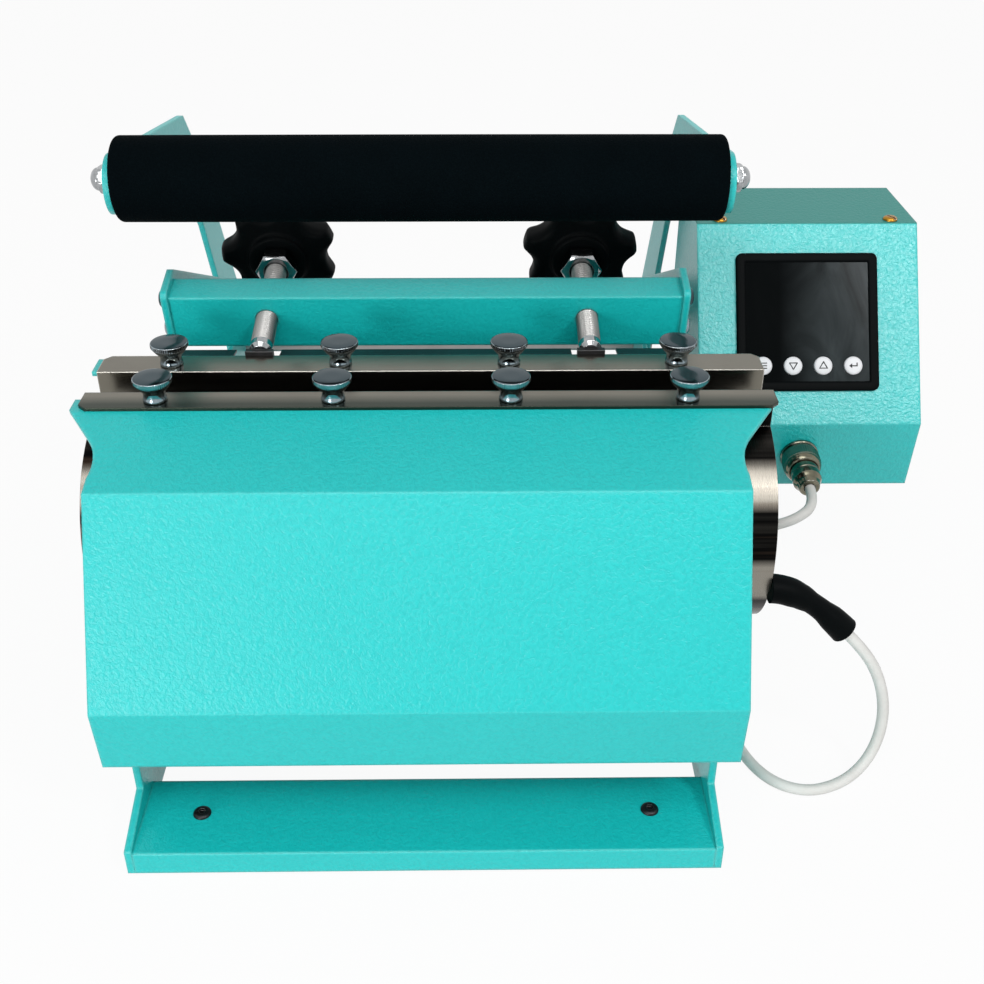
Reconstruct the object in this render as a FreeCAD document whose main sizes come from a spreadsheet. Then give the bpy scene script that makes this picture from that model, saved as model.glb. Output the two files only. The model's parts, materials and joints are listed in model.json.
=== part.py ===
"""Tumbler heat press: a fixed front shell, a swinging rear jaw, a long padded lever and a control box.

Lengths are in millimetres. X runs to the right, Y to the rear and Z up.
Places are written from the floor and from the front edge of the base, and each piece is then
set so that the origin lies in the middle of the heated bore.
"""
import FreeCAD, Part
import math
import os
import re
import sys
import Sketcher

V = FreeCAD.Vector

SIZES = (
    # heated bore and the element that wraps it
    ("bore_y", 112.75), ("bore_z", 106.8), ("bore_radius", 44), ("mat_wall", 3.6), ("band_wall", 0.8),
    ("band_over", 0), ("clamp_shift", 3.1), ("half_gap", 0.3), ("seat_gap", 0.3), ("run_play", 0.05),
    # flanged bars that clamp the two edges of the element
    ("bar_gap", 18.5), ("bar_width", 15.5), ("bar_wall", 1.5), ("bar_over", 15.3), ("lip_wall", 2.5),
    ("lip_drop", 10), ("flange_rise", 12.3), ("bar_corner", 3), ("front_trim", 1.9),
    ("screw_inner", 36), ("screw_outer", 108), ("clamp_screw_radius", 2.5), ("screw_play", 0.1),
    ("thumb_head_radius", 8), ("thumb_head", 5.6), ("thumb_neck_radius", 5), ("thumb_neck", 4.9),
    ("thumb_below", 3),
    # front shell
    ("sheet", 2), ("toe_reach", 56.35), ("toe_drop", 54.1), ("knee_reach", 59.75),
    ("knee_drop", 24.1), ("brow_reach", 20.55), ("brow_drop", 10.2), ("ear_over", 15.5),
    ("ear_low", 14.7), ("ear_turn", 33), ("ear_curve", 30), ("ear_bite", 0.6), ("ear_lip", 3),
    # rear jaw
    ("rear_room", 19.85), ("rear_low_drop", 26.8), ("rear_toe_run", 47.25), ("rear_bottom_drop", 51.8),
    ("hinge_room", 12.4), ("hinge_radius", 4), ("lug_radius", 9), ("boss_radius", 9),
    # frame
    ("side_inner", 119), ("side_wall", 3), ("toe_z", 13), ("heel_y", 28), ("heel_z", 21),
    ("shoulder_z", 100), ("shoulder_y", 58), ("valley_z", 30), ("rail_y", 205),
    ("frame_depth", 385), ("floor_gap", 1), ("base_top", 12), ("base_wall", 2.5), ("base_depth", 41),
    ("foot_radius", 8), ("foot_x", 94.3), ("foot_y", 22), ("base_screw_radius", 2),
    ("base_head_radius", 3.8), ("base_head", 1.6), ("shell_bolt_y", 46), ("shell_bolt_low", 66),
    ("shell_bolt_high", 90), ("shell_bolt_radius", 3), ("shell_bolt_reach", 6), ("shell_nut", 5), ("cap_gap", 2),
    # lever
    ("pivot_inset", 35), ("pivot_z", 76), ("pivot_radius", 6), ("pivot_boss", 16), ("arm_gap", 2.5),
    ("arm_wall", 3), ("grip_y", 150), ("grip_z", 243), ("grip_end", 12.5), ("grip_rod_radius", 3),
    ("grip_tube_radius", 9), ("foam_radius", 17.5), ("foam_round", 2.5), ("acorn_radius", 5.5),
    ("acorn_length", 6.8), ("acorn_bottom", 3), ("washer_wall", 1), ("link_back", 10), ("link_rise", 32),
    ("link_radius", 5), ("arm_end", 3),
    ("top_run", 50), ("top_rise", 2.5), ("crest_run", 130), ("crest_drop", 9.5), ("heel_run", 145),
    ("heel_drop", 25), ("back_run", 189), ("back_drop", 89), ("hip_run", 21), ("hip_rise", 28),
    ("shin_run", 28), ("shin_rise", 44), ("knee_run", 146), ("knee_fall", 73), ("fold_run", 122),
    ("fold_drop", 42), ("under_drop", 22),
    # press beam and its links
    ("rod_slope", 12), ("rod_x", 72), ("tip_reach", 3.5), ("tip_rise", 1.1), ("tip_gap", 0.15),
    ("rod_radius", 5), ("tip_length", 5), ("tip_round", 1.6), ("beam_height", 26.5), ("beam_depth", 15.2),
    ("beam_wall", 2.5), ("beam_start", 24.5), ("beam_below", 14.9), ("link_wall", 3), ("link_gap", 7),
    ("link_rim", 3), ("link_fore", 1.5), ("link_tail", 9.5), ("sleeve_wall", 3), ("beam_bolt_inset", 5.5),
    ("bolt_radius", 2.5), ("bolt_head_radius", 4.5), ("bolt_head", 2.8), ("nut_start", 61),
    ("nut_flats", 17), ("nut_height", 8), ("knob_radius", 27.5), ("knob_height", 20),
    ("knob_scallop", 11), ("knob_lobes", 7), ("knob_turn_left", 15), ("knob_turn_right", -23),
    ("block_width", 12), ("block_rise", 2.2),
    # control box
    ("box_gap", 10), ("box_width", 109.7), ("box_wall", 1.5), ("box_low_y", 189.2),
    ("box_low_z", 70.3), ("chin_y", 184.4), ("chin_z", 107.7), ("crown_y", 241), ("crown_z", 190.5),
    ("box_rear_y", 295), ("panel_left", 18.9), ("panel_width", 70), ("panel_low", 16.5),
    ("panel_height", 68.5), ("panel_proud", 1.2), ("panel_corner", 3), ("window_rim", 5),
    ("key_pitch", 14.9), ("key_radius", 4.6), ("key_row", 12.4), ("key_proud", 0.7),
    ("key_play", 0.15), ("key_depth", 5), ("board_gap", 7), ("board_wall", 1.6),
    ("post_radius", 3), ("post_gap", 2), ("bracket_start", 212), ("bracket_length", 62),
    ("bracket_height", 16), ("bracket_drop", 2),
    ("socket_right", 52), ("socket_up", 19), ("socket_radius", 9.5), ("socket_flange", 2),
    ("socket_shank", 8), ("socket_wall", 1.4), ("thread_radius", 7.4), ("thread_length", 9),
    ("thread_play", 0.2), ("ring_radius", 9.4), ("ring_length", 11), ("ring_play", 0.1),
    ("plug_radius", 7), ("plug_length", 27), ("plug_taper", 4), ("lead_radius", 2.5),
    ("lid_screw_radius", 1.5), ("lid_screw_length", 8), ("lid_head_radius", 3.6), ("lid_head", 1.8),
    ("lid_inset", 12.2), ("lid_setback", 4.6),
    ("inlet_left", 20), ("inlet_width", 28), ("inlet_height", 21), ("inlet_depth", 20), ("inlet_rim", 3),
    ("inlet_floor", 2), ("inlet_play", 0.1), ("blade_wall", 2), ("blade_height", 4), ("blade_pitch", 6),
    ("blade_drop", 2), ("blade_rise", 3), ("blade_setback", 3),
    ("switch_left", 68), ("switch_width", 22), ("switch_height", 30), ("switch_depth", 14),
    ("rocker_tilt", 9), ("rocker_gap", 0.3), ("rocker_end", 1), ("rocker_deep", 5), ("rocker_crest", 2.4),
    ("rocker_waist", 0.4), ("rocker_sink", 1), ("rear_low", 96), ("pin_radius", 1.3), ("pin_reach", 0.2),
    # lead boot
    ("boot_radius", 5.5), ("boot_end_radius", 6.2), ("boot_angle", 15), ("boot_reach", 14), ("boot_flare", 7),
)

# Sizes that follow from the ones above.
FOLLOWING = {
    "side_outer": "side_inner + side_wall",
    "shell_half": "side_inner + side_wall + cap_gap + sheet",
    "bar_half": "shell_half + bar_over",
    "mat_half": "bar_half",
    "band_half": "bar_half + band_over",
    "ear_half": "shell_half + ear_over",
    "arm_inner": "side_outer + arm_gap",
    "beam_half": "arm_inner - link_gap - link_wall",
    "foam_half": "arm_inner - seat_gap",
    "box_left": "side_outer + box_gap",
    "mat_outer": "bore_radius + mat_wall",
    "band_outer": "bore_radius + mat_wall + band_wall",
    "mouth": "bar_gap / 2 + lip_wall",
    "front_edge": "bore_y - mouth - band_wall",
    "rear_edge": "bore_y + mouth + band_wall",
    "flange_y": "bore_y - bar_gap / 2 - bar_width + front_trim",
    "rear_flange": "bore_y + bar_gap / 2 + bar_width",
    "flange_z": "bore_z + band_outer + flange_rise",
    "shell_low_y": "bore_y - band_outer - toe_reach",
    "shell_low_z": "bore_z - toe_drop",
    "knee_y": "bore_y - band_outer - knee_reach",
    "knee_z": "bore_z - knee_drop",
    "brow_y": "bore_y - band_outer - brow_reach",
    "brow_z": "flange_z - brow_drop",
    "rear_reach": "band_outer + rear_room",
    "rear_low_z": "bore_z - rear_low_drop",
    "rear_toe_y": "bore_y + rear_toe_run",
    "rear_bottom_z": "bore_z - rear_bottom_drop",
    "hinge_z": "bore_z - band_outer - hinge_room",
    "pivot_y": "frame_depth - pivot_inset",
    "rail_z": "pivot_z + pivot_boss",
    "link_y": "pivot_y - link_back",
    "link_z": "pivot_z + link_rise",
    "tip_y": "rear_flange + tip_reach",
    "tip_z": "flange_z + tip_rise",
}

doc = FreeCAD.newDocument("tumbler_heat_press")
sheet = doc.addObject("Spreadsheet::Sheet", "Sizes")
for row, (alias, number) in enumerate(SIZES, start=1):
    sheet.set(f"A{row}", alias)
    sheet.set(f"B{row}", str(number))
    sheet.setAlias(f"B{row}", alias)
doc.recompute()

WORD = re.compile(r"\b(" + "|".join(alias for alias, number in SIZES) + r")\b")
FOLLOWS = re.compile(r"\b(" + "|".join(FOLLOWING) + r")\b")
nodes = []


def cells(text):
    """Spell out the sizes that follow from others, and turn the rest into references to the sheet."""
    while FOLLOWS.search(text):
        text = FOLLOWS.sub(lambda word: f"({FOLLOWING[word.group(1)]})", text)
    return WORD.sub(r"Sizes.\1", text)


def number_of(text):
    return float(sheet.evalExpression(cells(text)))


def bind(item, **properties):
    """Bind properties to expressions; two underscores in a name stand for a dot."""
    for name, text in properties.items():
        item.setExpression(name.replace("__", "."), cells(text))


def keep(item, label):
    """Name an object as one of the pieces that are written out."""
    item.Label = label
    nodes.append(item)
    return item


TURN = {
    "x": FreeCAD.Rotation(V(0, 1, 0), 90),
    "y": FreeCAD.Rotation(V(1, 0, 0), -90),
    "z": FreeCAD.Rotation(),
}


def place(item, x, y, z, turn=FreeCAD.Rotation()):
    item.Placement = FreeCAD.Placement(V(), turn)
    bind(item, Placement__Base__x=x, Placement__Base__y=f"{y} - bore_y", Placement__Base__z=f"{z} - bore_z")


def cylinder(name, axis, x, y, z, radius, length):
    item = doc.addObject("Part::Cylinder", name)
    bind(item, Radius=radius, Height=length)
    place(item, x, y, z, TURN[axis])
    return item


def on_rod(along, above="0"):
    """Y and Z of a point given along a pressure screw's axis from its tip, and above that axis."""
    y = f"tip_y + ({along}) * cos(rod_slope) - ({above}) * sin(rod_slope)"
    z = f"tip_z + ({along}) * sin(rod_slope) + ({above}) * cos(rod_slope)"
    return y, z


def aim_along_rod(item, x, along):
    """Stand a piece made along Z on the screw's axis, pointing to the rear."""
    place(item, x, *on_rod(along), FreeCAD.Rotation(V(-1, 0, 0), number_of("90 - rod_slope")))
    bind(item, Placement__Rotation__Angle="90 - rod_slope")


def tilted_cylinder(name, x, along, radius, length):
    """A cylinder on a pressure screw's axis, starting at a distance behind the screw's tip."""
    item = doc.addObject("Part::Cylinder", name)
    bind(item, Radius=radius, Height=length)
    aim_along_rod(item, x, along)
    return item


def block(name, x, y, z, width, depth, height):
    item = doc.addObject("Part::Box", name)
    bind(item, Length=width, Width=depth, Height=height)
    place(item, x, y, z)
    return item


def cut(name, base, *tools):
    for count, tool in enumerate(tools):
        last = count == len(tools) - 1
        item = doc.addObject("Part::Cut", name if last else f"{name}_step{count}")
        item.Base = base
        item.Tool = tool
        base = item
    return base


def fuse(name, *parts):
    item = doc.addObject("Part::MultiFuse", name)
    item.Shapes = list(parts)
    return item


def common(name, base, tool):
    item = doc.addObject("Part::Common", name)
    item.Base = base
    item.Tool = tool
    return item


def group(name, parts):
    item = doc.addObject("Part::Compound", name)
    item.Links = list(parts)
    return item


def new_body(name):
    body = doc.addObject("PartDesign::Body", name)
    bind(body, Placement__Base__y="-bore_y", Placement__Base__z="-bore_z")
    return body


def new_sketch(body, name, plane, offset=None, tilt=None):
    """A sketch on one of the body's own planes, moved by offset and turned about X by tilt."""
    sketch = body.newObject("Sketcher::SketchObject", name)
    role = plane + "_Plane"
    origin_plane = [item for item in body.Origin.OriginFeatures if item.Role == role][0]
    sketch.AttachmentSupport = [(origin_plane, "")]
    sketch.MapMode = "FlatFace"
    if tilt:
        sketch.AttachmentOffset = FreeCAD.Placement(V(), FreeCAD.Rotation(V(1, 0, 0), number_of(tilt)))
        bind(sketch, AttachmentOffset__Rotation__Angle=tilt)
    for axis, text in zip("xyz", offset or ()):
        if text != "0":
            bind(sketch, **{f"AttachmentOffset__Base__{axis}": text})
    return sketch


def tie(sketch, kind, *where, to):
    index = sketch.addConstraint(Sketcher.Constraint(kind, *where, number_of(to)))
    sketch.setExpression(f"Constraints[{index}]", cells(to))


def add_outline(sketch, points):
    """A closed run of straight lines through points given as pairs of expressions."""
    first = sketch.GeometryCount
    corners = [V(number_of(across), number_of(up), 0) for across, up in points]
    count = len(corners)
    for index, corner in enumerate(corners):
        sketch.addGeometry(Part.LineSegment(corner, corners[(index + 1) % count]), False)
    for index in range(count):
        following = first + (index + 1) % count
        sketch.addConstraint(Sketcher.Constraint("Coincident", first + index, 2, following, 1))
    for index, (across, up) in enumerate(points):
        tie(sketch, "DistanceX", -1, 1, first + index, 1, to=across)
        tie(sketch, "DistanceY", -1, 1, first + index, 1, to=up)


def rectangle(left, low, right, high):
    return [(left, low), (right, low), (right, high), (left, high)]


def add_circle(sketch, across, up, radius):
    index = sketch.GeometryCount
    centre = V(number_of(across), number_of(up), 0)
    sketch.addGeometry(Part.Circle(centre, V(0, 0, 1), number_of(radius)), False)
    tie(sketch, "DistanceX", -1, 1, index, 3, to=across)
    tie(sketch, "DistanceY", -1, 1, index, 3, to=up)
    tie(sketch, "Radius", index, to=radius)


def pad(body, sketch, length, both_ways=False, reverse=False):
    item = body.newObject("PartDesign::Pad", sketch.Name + "_pad")
    item.Profile = sketch
    bind(item, Length=length)
    item.Midplane = both_ways
    item.Reversed = reverse
    doc.recompute()
    return item


def pocket(body, sketch, length=None, both_ways=False, reverse=False):
    """Cut a sketch out of the body; with no length it goes all the way through."""
    before = body.Shape.Volume
    item = body.newObject("PartDesign::Pocket", sketch.Name + "_pocket")
    item.Profile = sketch
    item.Midplane = both_ways
    item.Reversed = reverse
    if length:
        bind(item, Length=length)
    else:
        item.Type = "ThroughAll"
    doc.recompute()
    if body.Shape.Volume > before - 1e-3:
        sys.exit(f"{item.Name} cuts nothing")
    return item


def round_corners(body, corners):
    """Round edges that run along X, given as (y, z, radius) at the corner of the profile."""
    for count, (y, z, radius) in enumerate(corners):
        here = V(0, number_of(y), number_of(z))
        names = []
        for index, edge in enumerate(body.Tip.Shape.Edges, start=1):
            ends = [V(0, vertex.Point.y, vertex.Point.z) for vertex in edge.Vertexes]
            if len(ends) == 2 and all((end - here).Length < 1e-4 for end in ends):
                names.append(f"Edge{index}")
        base = body.Tip
        item = body.newObject("PartDesign::Fillet", f"{body.Name}_round{count}")
        item.Base = (base, names)
        bind(item, Radius=radius)
        doc.recompute()


def plate(name, outline, start, width, holes=(), corners=()):
    """A flat or bent piece with one profile in the YZ plane, from X = start."""
    body = new_body(name)
    sketch = new_sketch(body, name + "_profile", "YZ", ("0", "0", start))
    add_outline(sketch, outline)
    for hole in holes:
        add_circle(sketch, *hole)
    pad(body, sketch, width)
    round_corners(body, corners)
    return body


def hollow(body, wall, is_open):
    """Leave a wall on every face except the open ones."""
    base = body.Tip
    names = [f"Face{index}" for index, face in enumerate(base.Shape.Faces, start=1) if is_open(face)]
    item = body.newObject("PartDesign::Thickness", body.Name + "_hollow")
    item.Base = (base, names)
    bind(item, Value=wall)
    item.Mode = 0
    item.Join = 1
    item.Reversed = True
    doc.recompute()
    return item


def turned(name, outline, axis, x, y, z, turn=None):
    """A turned piece: outline is (radius, distance along the axis)."""
    body = doc.addObject("PartDesign::Body", name)
    sketch = new_sketch(body, name + "_half", "XZ")
    add_outline(sketch, outline)
    spin = body.newObject("PartDesign::Revolution", name + "_turn")
    spin.Profile = sketch
    spin.ReferenceAxis = (sketch, ["V_Axis"])
    spin.Angle = 360
    place(body, x, y, z, turn or TURN[axis])
    doc.recompute()
    return body


SIDES = (("left", -1), ("right", 1))


def side_start(sign, inner, wall):
    """X where a wall starts, for the plate of that side of the machine."""
    return inner if sign > 0 else f"-({inner} + {wall})"


def centre_of_bar(row):
    """Y of the screw line: the front row lies before the bore and the rear row behind it."""
    reach = "bar_gap / 2 + bar_width / 2"
    return f"bore_y - ({reach}) + front_trim / 2" if row == "front" else f"bore_y + {reach}"


def screw_places():
    return ("-screw_outer", "-screw_inner", "screw_inner", "screw_outer")


def side_plates():
    """Two steel sides that carry the shell, the jaw's hinge, the lever and the control box."""
    outline = [
        ("0", "floor_gap"), ("0", "toe_z"), ("heel_y", "heel_z"), ("heel_y", "shoulder_z"),
        ("shoulder_y", "shoulder_z"), ("bore_y + boss_radius", "hinge_z + boss_radius"),
        ("bore_y + boss_radius", "valley_z"), ("rail_y - side_wall * 3", "valley_z"),
        ("rail_y", "pivot_z + pivot_boss"), ("pivot_y + pivot_boss", "pivot_z + pivot_boss"),
        ("pivot_y + pivot_boss", "pivot_z - pivot_boss"), ("frame_depth", "heel_z"),
        ("frame_depth", "floor_gap"),
    ]
    holes = [("bore_y", "hinge_z", "hinge_radius + run_play"), ("pivot_y", "pivot_z", "pivot_radius + run_play")]
    holes += [("shell_bolt_y", z, "shell_bolt_radius + run_play") for z in ("shell_bolt_low", "shell_bolt_high")]
    corners = [("pivot_y + pivot_boss", "pivot_z + pivot_boss", "pivot_boss - 1"),
               ("rail_y", "pivot_z + pivot_boss", "lug_radius"), ("frame_depth", "heel_z", "lug_radius"),
               ("heel_y", "shoulder_z", "lug_radius")]
    for side, sign in SIDES:
        body = plate(f"side_plate_{side}", outline, side_start(sign, "side_inner", "side_wall"),
                     "side_wall", holes, corners)
        clear = new_sketch(body, body.Name + "_clear", "YZ")
        add_circle(clear, "bore_y", "bore_z", "band_outer + sheet")
        pocket(body, clear, both_ways=True)
        keep(body, f"side_plate_{side}")


def base_plates():
    """Two bent channels between the sides, each on a pair of rubber feet."""
    feet = []
    screws = []
    for end in ("front", "rear"):
        start = "0" if end == "front" else "(frame_depth - base_depth)"
        last = f"{start} + base_depth"
        line = "foot_y" if end == "front" else "frame_depth - foot_y"
        outline = [
            (start, "floor_gap"), (start, "base_top"), (last, "base_top"), (last, "floor_gap"),
            (f"{last} - base_wall", "floor_gap"), (f"{last} - base_wall", "base_top - base_wall"),
            (f"{start} + base_wall", "base_top - base_wall"), (f"{start} + base_wall", "floor_gap"),
        ]
        body = plate(f"{end}_base_plate", outline, "-side_inner", "2 * side_inner")
        drill = new_sketch(body, f"{end}_base_drill", "XY", ("0", "0", "base_top"))
        for x in ("-foot_x", "foot_x"):
            add_circle(drill, x, line, "base_screw_radius + screw_play")
        pocket(body, drill, "base_wall * 1.5")
        keep(body, f"{end}_base_plate")
        for side, x in (("left", "-foot_x"), ("right", "foot_x")):
            name = f"{end}_{side}"
            pad_block = cylinder(f"foot_{name}_block", "z", x, line, "0", "foot_radius", "base_top - base_wall")
            bore = cylinder(f"foot_{name}_bore", "z", x, line, "0", "base_screw_radius + screw_play", "base_top")
            feet.append(cut(f"foot_{name}", pad_block, bore))
            head = cylinder(f"base_head_{name}", "z", x, line, "base_top", "base_head_radius", "base_head")
            shank = cylinder(f"base_shank_{name}", "z", x, line, "floor_gap + base_head", "base_screw_radius",
                             "base_top - floor_gap")
            socket = doc.addObject("Part::Prism", f"base_key_{name}")
            socket.Polygon = 6
            bind(socket, Circumradius="base_screw_radius * 0.8", Height="base_head")
            place(socket, x, line, "base_top + base_head * 0.3")
            screws.append(cut(f"base_screw_{name}", fuse(f"base_screw_{name}_blank", head, shank), socket))
    keep(group("rubber_feet", feet), "rubber_feet")
    keep(group("base_screws", screws), "base_screws")


def cap_holes(body, name):
    """Holes in a shell's end caps: the round cut-out that the element passes through."""
    clear = new_sketch(body, name + "_bore", "YZ")
    add_circle(clear, "bore_y", "bore_z", "band_outer + seat_gap")
    pocket(body, clear, both_ways=True)


def clamp_holes(body, row, top, depth):
    """Four holes in a flange or a bar, on the row of thumb screws."""
    drill = new_sketch(body, body.Name + "_drill", "XY", ("0", "0", top))
    for x in screw_places():
        add_circle(drill, x, centre_of_bar(row), "clamp_screw_radius + screw_play")
    pocket(body, drill, depth)


def front_shell():
    """One folded sheet: low face, broad front face, raked upper face with two ears, and a flange."""
    body = new_body("front_shell")
    profile = new_sketch(body, "front_shell_profile", "YZ")
    add_outline(profile, [("shell_low_y", "shell_low_z"), ("knee_y", "knee_z"), ("brow_y", "brow_z"),
                          ("flange_y", "flange_z"), ("front_edge", "flange_z"), ("front_edge", "shell_low_z")])
    pad(body, profile, "2 * shell_half", both_ways=True)
    hollow(body, "sheet", lambda face: face.normalAt(0, 0).y > 0.99)
    rise = "(flange_z - brow_z)"
    run = "(flange_y - brow_y)"
    slope_end = f"sqrt({rise} * {rise} + {run} * {run})"
    slope = f"atan({rise} / {run})"
    ears = new_sketch(body, "front_shell_ears", "XY", ("0", "brow_y", "brow_z"), slope)
    add_outline(ears, [("-ear_half", "ear_low"), ("ear_half", "ear_low"), ("ear_half", slope_end),
                       ("-ear_half", slope_end)])
    pad(body, ears, "sheet", reverse=True)
    flange = new_sketch(body, "front_shell_flange", "YZ")
    add_outline(flange, [("flange_y", "flange_z - sheet"), ("flange_y", "flange_z"),
                         ("front_edge", "flange_z"), ("front_edge", "flange_z - sheet")])
    pad(body, flange, "2 * ear_half", both_ways=True)
    curve = new_sketch(body, "front_shell_ear_curve", "XY", ("0", "brow_y", "brow_z"), slope)
    for sign in ("", "-"):
        add_circle(curve, f"{sign}(shell_half - ear_bite + ear_curve)", "ear_low", "ear_curve")
    pocket(body, curve, "ear_lip")
    slant = new_sketch(body, "front_shell_ear_slant", "XY", ("0", "brow_y", "brow_z"), slope)
    near = "(shell_half - ear_bite + ear_curve * (1 - cos(ear_turn)))"
    start = "(ear_low + ear_curve * sin(ear_turn))"
    for sign in ("", "-"):
        edge = f"{sign}(ear_half + 1)"
        add_outline(slant, [(f"{sign}{near}", start), (edge, start),
                            (edge, f"{start} + (ear_half + 1 - {near}) / tan(ear_turn)")])
    pocket(body, slant, "ear_lip")
    cap_holes(body, "front_shell")
    clamp_holes(body, "front", "flange_z", "sheet * 2")
    slots = new_sketch(body, "front_shell_slots", "XY", ("0", "0", "shell_low_z + sheet + 1"))
    near, far = "side_inner - seat_gap", "side_outer + seat_gap"
    for left, right in ((near, far), (f"-({far})", f"-({near})")):
        add_outline(slots, rectangle(left, "heel_y - seat_gap", right, "front_edge + 1"))
    pocket(body, slots, "sheet + 2")
    bolts = new_sketch(body, "front_shell_bolt_holes", "YZ")
    for z in ("shell_bolt_low", "shell_bolt_high"):
        add_circle(bolts, "shell_bolt_y", z, "shell_bolt_radius + run_play")
    pocket(body, bolts, both_ways=True)
    keep(body, "front_shell")


def rear_shell():
    """The jaw's casing: a folded sheet with end caps and two lugs that swing on the hinge pin."""
    body = new_body("rear_shell")
    profile = new_sketch(body, "rear_shell_profile", "YZ")
    back = "bore_y + rear_reach"
    add_outline(profile, [("rear_edge", "rear_bottom_z"), ("rear_edge", "flange_z"), ("rear_flange", "flange_z"),
                          (back, "flange_z - (rear_reach - bar_gap / 2 - bar_width)"), (back, "rear_low_z"),
                          ("rear_toe_y", "rear_bottom_z")])
    pad(body, profile, "2 * shell_half", both_ways=True)
    hollow(body, "sheet", lambda face: face.normalAt(0, 0).y < -0.99)
    flange = new_sketch(body, "rear_shell_flange", "YZ")
    add_outline(flange, [("rear_edge", "flange_z - sheet"), ("rear_edge", "flange_z"),
                         ("rear_flange", "flange_z"), ("rear_flange", "flange_z - sheet")])
    pad(body, flange, "2 * mat_half", both_ways=True)
    for side, sign in SIDES:
        start = "shell_half - sheet" if sign > 0 else "-shell_half"
        lug = new_sketch(body, f"rear_shell_lug_{side}", "YZ", ("0", "0", start))
        add_outline(lug, [
            ("bore_y - lug_radius", "hinge_z - lug_radius / 2"), ("bore_y - lug_radius / 2", "hinge_z - lug_radius"),
            ("bore_y + lug_radius", "hinge_z - lug_radius"), ("rear_toe_y - lug_radius", "rear_bottom_z + sheet"),
            ("rear_edge", "rear_bottom_z + sheet"), ("bore_y", "hinge_z + lug_radius"),
            ("bore_y - lug_radius", "hinge_z + lug_radius / 2")])
        pad(body, lug, "sheet")
    cap_holes(body, "rear_shell")
    pin = new_sketch(body, "rear_shell_pin_holes", "YZ")
    add_circle(pin, "bore_y", "hinge_z", "hinge_radius + run_play")
    pocket(body, pin, both_ways=True)
    clamp_holes(body, "rear", "flange_z", "sheet * 2")
    keep(body, "rear_shell")


def clamp_bar(row):
    """A polished angle that clamps one edge of the element to its shell's flange."""
    if row == "front":
        outer, inner, lip = "flange_y", "bore_y - bar_gap / 2", "bore_y - bar_gap / 2 - lip_wall"
    else:
        outer, inner, lip = "rear_flange", "bore_y + bar_gap / 2", "bore_y + bar_gap / 2 + lip_wall"
    outline = [(outer, "flange_z"), (outer, "flange_z + bar_wall"), (inner, "flange_z + bar_wall"),
               (inner, "flange_z - lip_drop"), (lip, "flange_z - lip_drop"), (lip, "flange_z")]
    body = plate(f"{row}_clamp_bar", outline, "clamp_shift - bar_half", "2 * bar_half")
    edge_y = number_of(outer)
    names = []
    for index, edge in enumerate(body.Tip.Shape.Edges, start=1):
        ends = [vertex.Point for vertex in edge.Vertexes]
        if all(abs(end.y - edge_y) < 1e-4 for end in ends) and abs(ends[0].z - ends[1].z) > 1:
            names.append(f"Edge{index}")
    base = body.Tip
    item = body.newObject("PartDesign::Chamfer", f"{row}_clamp_bar_corner")
    item.Base = (base, names)
    bind(item, Size="bar_corner")
    doc.recompute()
    clamp_holes(body, row, "flange_z + bar_wall", "bar_wall * 1.5")
    keep(body, f"{row}_clamp_bar")


def half_ring(name, row, outer, wall, half):
    """Half of a tube round the bore, open at the top between the bars."""
    start_x = f"clamp_shift - {half}"
    tube = cut(f"{name}_tube", cylinder(f"{name}_outer", "x", start_x, "bore_y", "bore_z", outer, f"2 * {half}"),
               cylinder(f"{name}_inner", "x", f"{start_x} - 1", "bore_y", "bore_z", f"{outer} - {wall}",
                        f"2 * {half} + 2"))
    sides = ("clamp_shift - band_half - 1", "2 * band_half + 2")
    span = "(band_outer + 1)"
    if row == "front":
        start, slot = f"bore_y - {span}", "bore_y - mouth"
    else:
        start, slot = "bore_y + half_gap", "bore_y"
    depth = f"{span} - half_gap"
    half_space = block(f"{name}_side", sides[0], start, f"bore_z - {span}", sides[1], depth, f"2 * {span}")
    opening = block(f"{name}_mouth", sides[0], slot, "bore_z", sides[1], "mouth", span)
    return cut(f"{name}_open", common(f"{name}_half", tube, half_space), opening)


def element(row):
    """Half of the spring steel band with its tail under the bar, and the silicone heating mat inside."""
    ring = half_ring(f"{row}_band_ring", row, "band_outer", "band_wall", "band_half")
    tail_y = "front_edge" if row == "front" else "rear_edge - band_wall"
    foot_z = "bore_z + sqrt(mat_outer * mat_outer - mouth * mouth)"
    tail = block(f"{row}_band_tail", "clamp_shift - bar_half", tail_y, foot_z, "2 * bar_half", "band_wall",
                 f"flange_z - ({foot_z})")
    keep(fuse(f"{row}_band", ring, tail), f"{row}_element_band")
    mat = half_ring(f"{row}_mat", row, "mat_outer", "mat_wall", "mat_half")
    keep(mat, f"{row}_heating_mat")


def thumb_screws(row):
    below = "(bar_wall + sheet + thumb_below)"
    top = "(thumb_neck + thumb_head)"
    outline = [
        ("0", f"-{below}"), ("clamp_screw_radius - 0.4", f"-{below}"), ("clamp_screw_radius", f"0.4 - {below}"),
        ("clamp_screw_radius", "0"), ("thumb_neck_radius", "0"), ("thumb_neck_radius", "thumb_neck"),
        ("thumb_head_radius - 0.6", "thumb_neck"), ("thumb_head_radius", "thumb_neck + 0.6"),
        ("thumb_head_radius", f"{top} - 0.8"), ("thumb_head_radius - 0.8", top), ("0", top),
    ]
    screws = [turned(f"{row}_thumb_{count}", outline, "z", x, centre_of_bar(row), "flange_z + bar_wall")
              for count, x in enumerate(screw_places(), start=1)]
    keep(group(f"{row}_thumb_screws", screws), f"{row}_thumb_screws")


def washer(name, x, y, z, outer, inner, length):
    disc = cylinder(name + "_disc", "x", x, y, z, outer, length)
    return cut(name, disc, cylinder(name + "_bore", "x", f"{x} - 1", y, z, inner, f"{length} + 2"))


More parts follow.
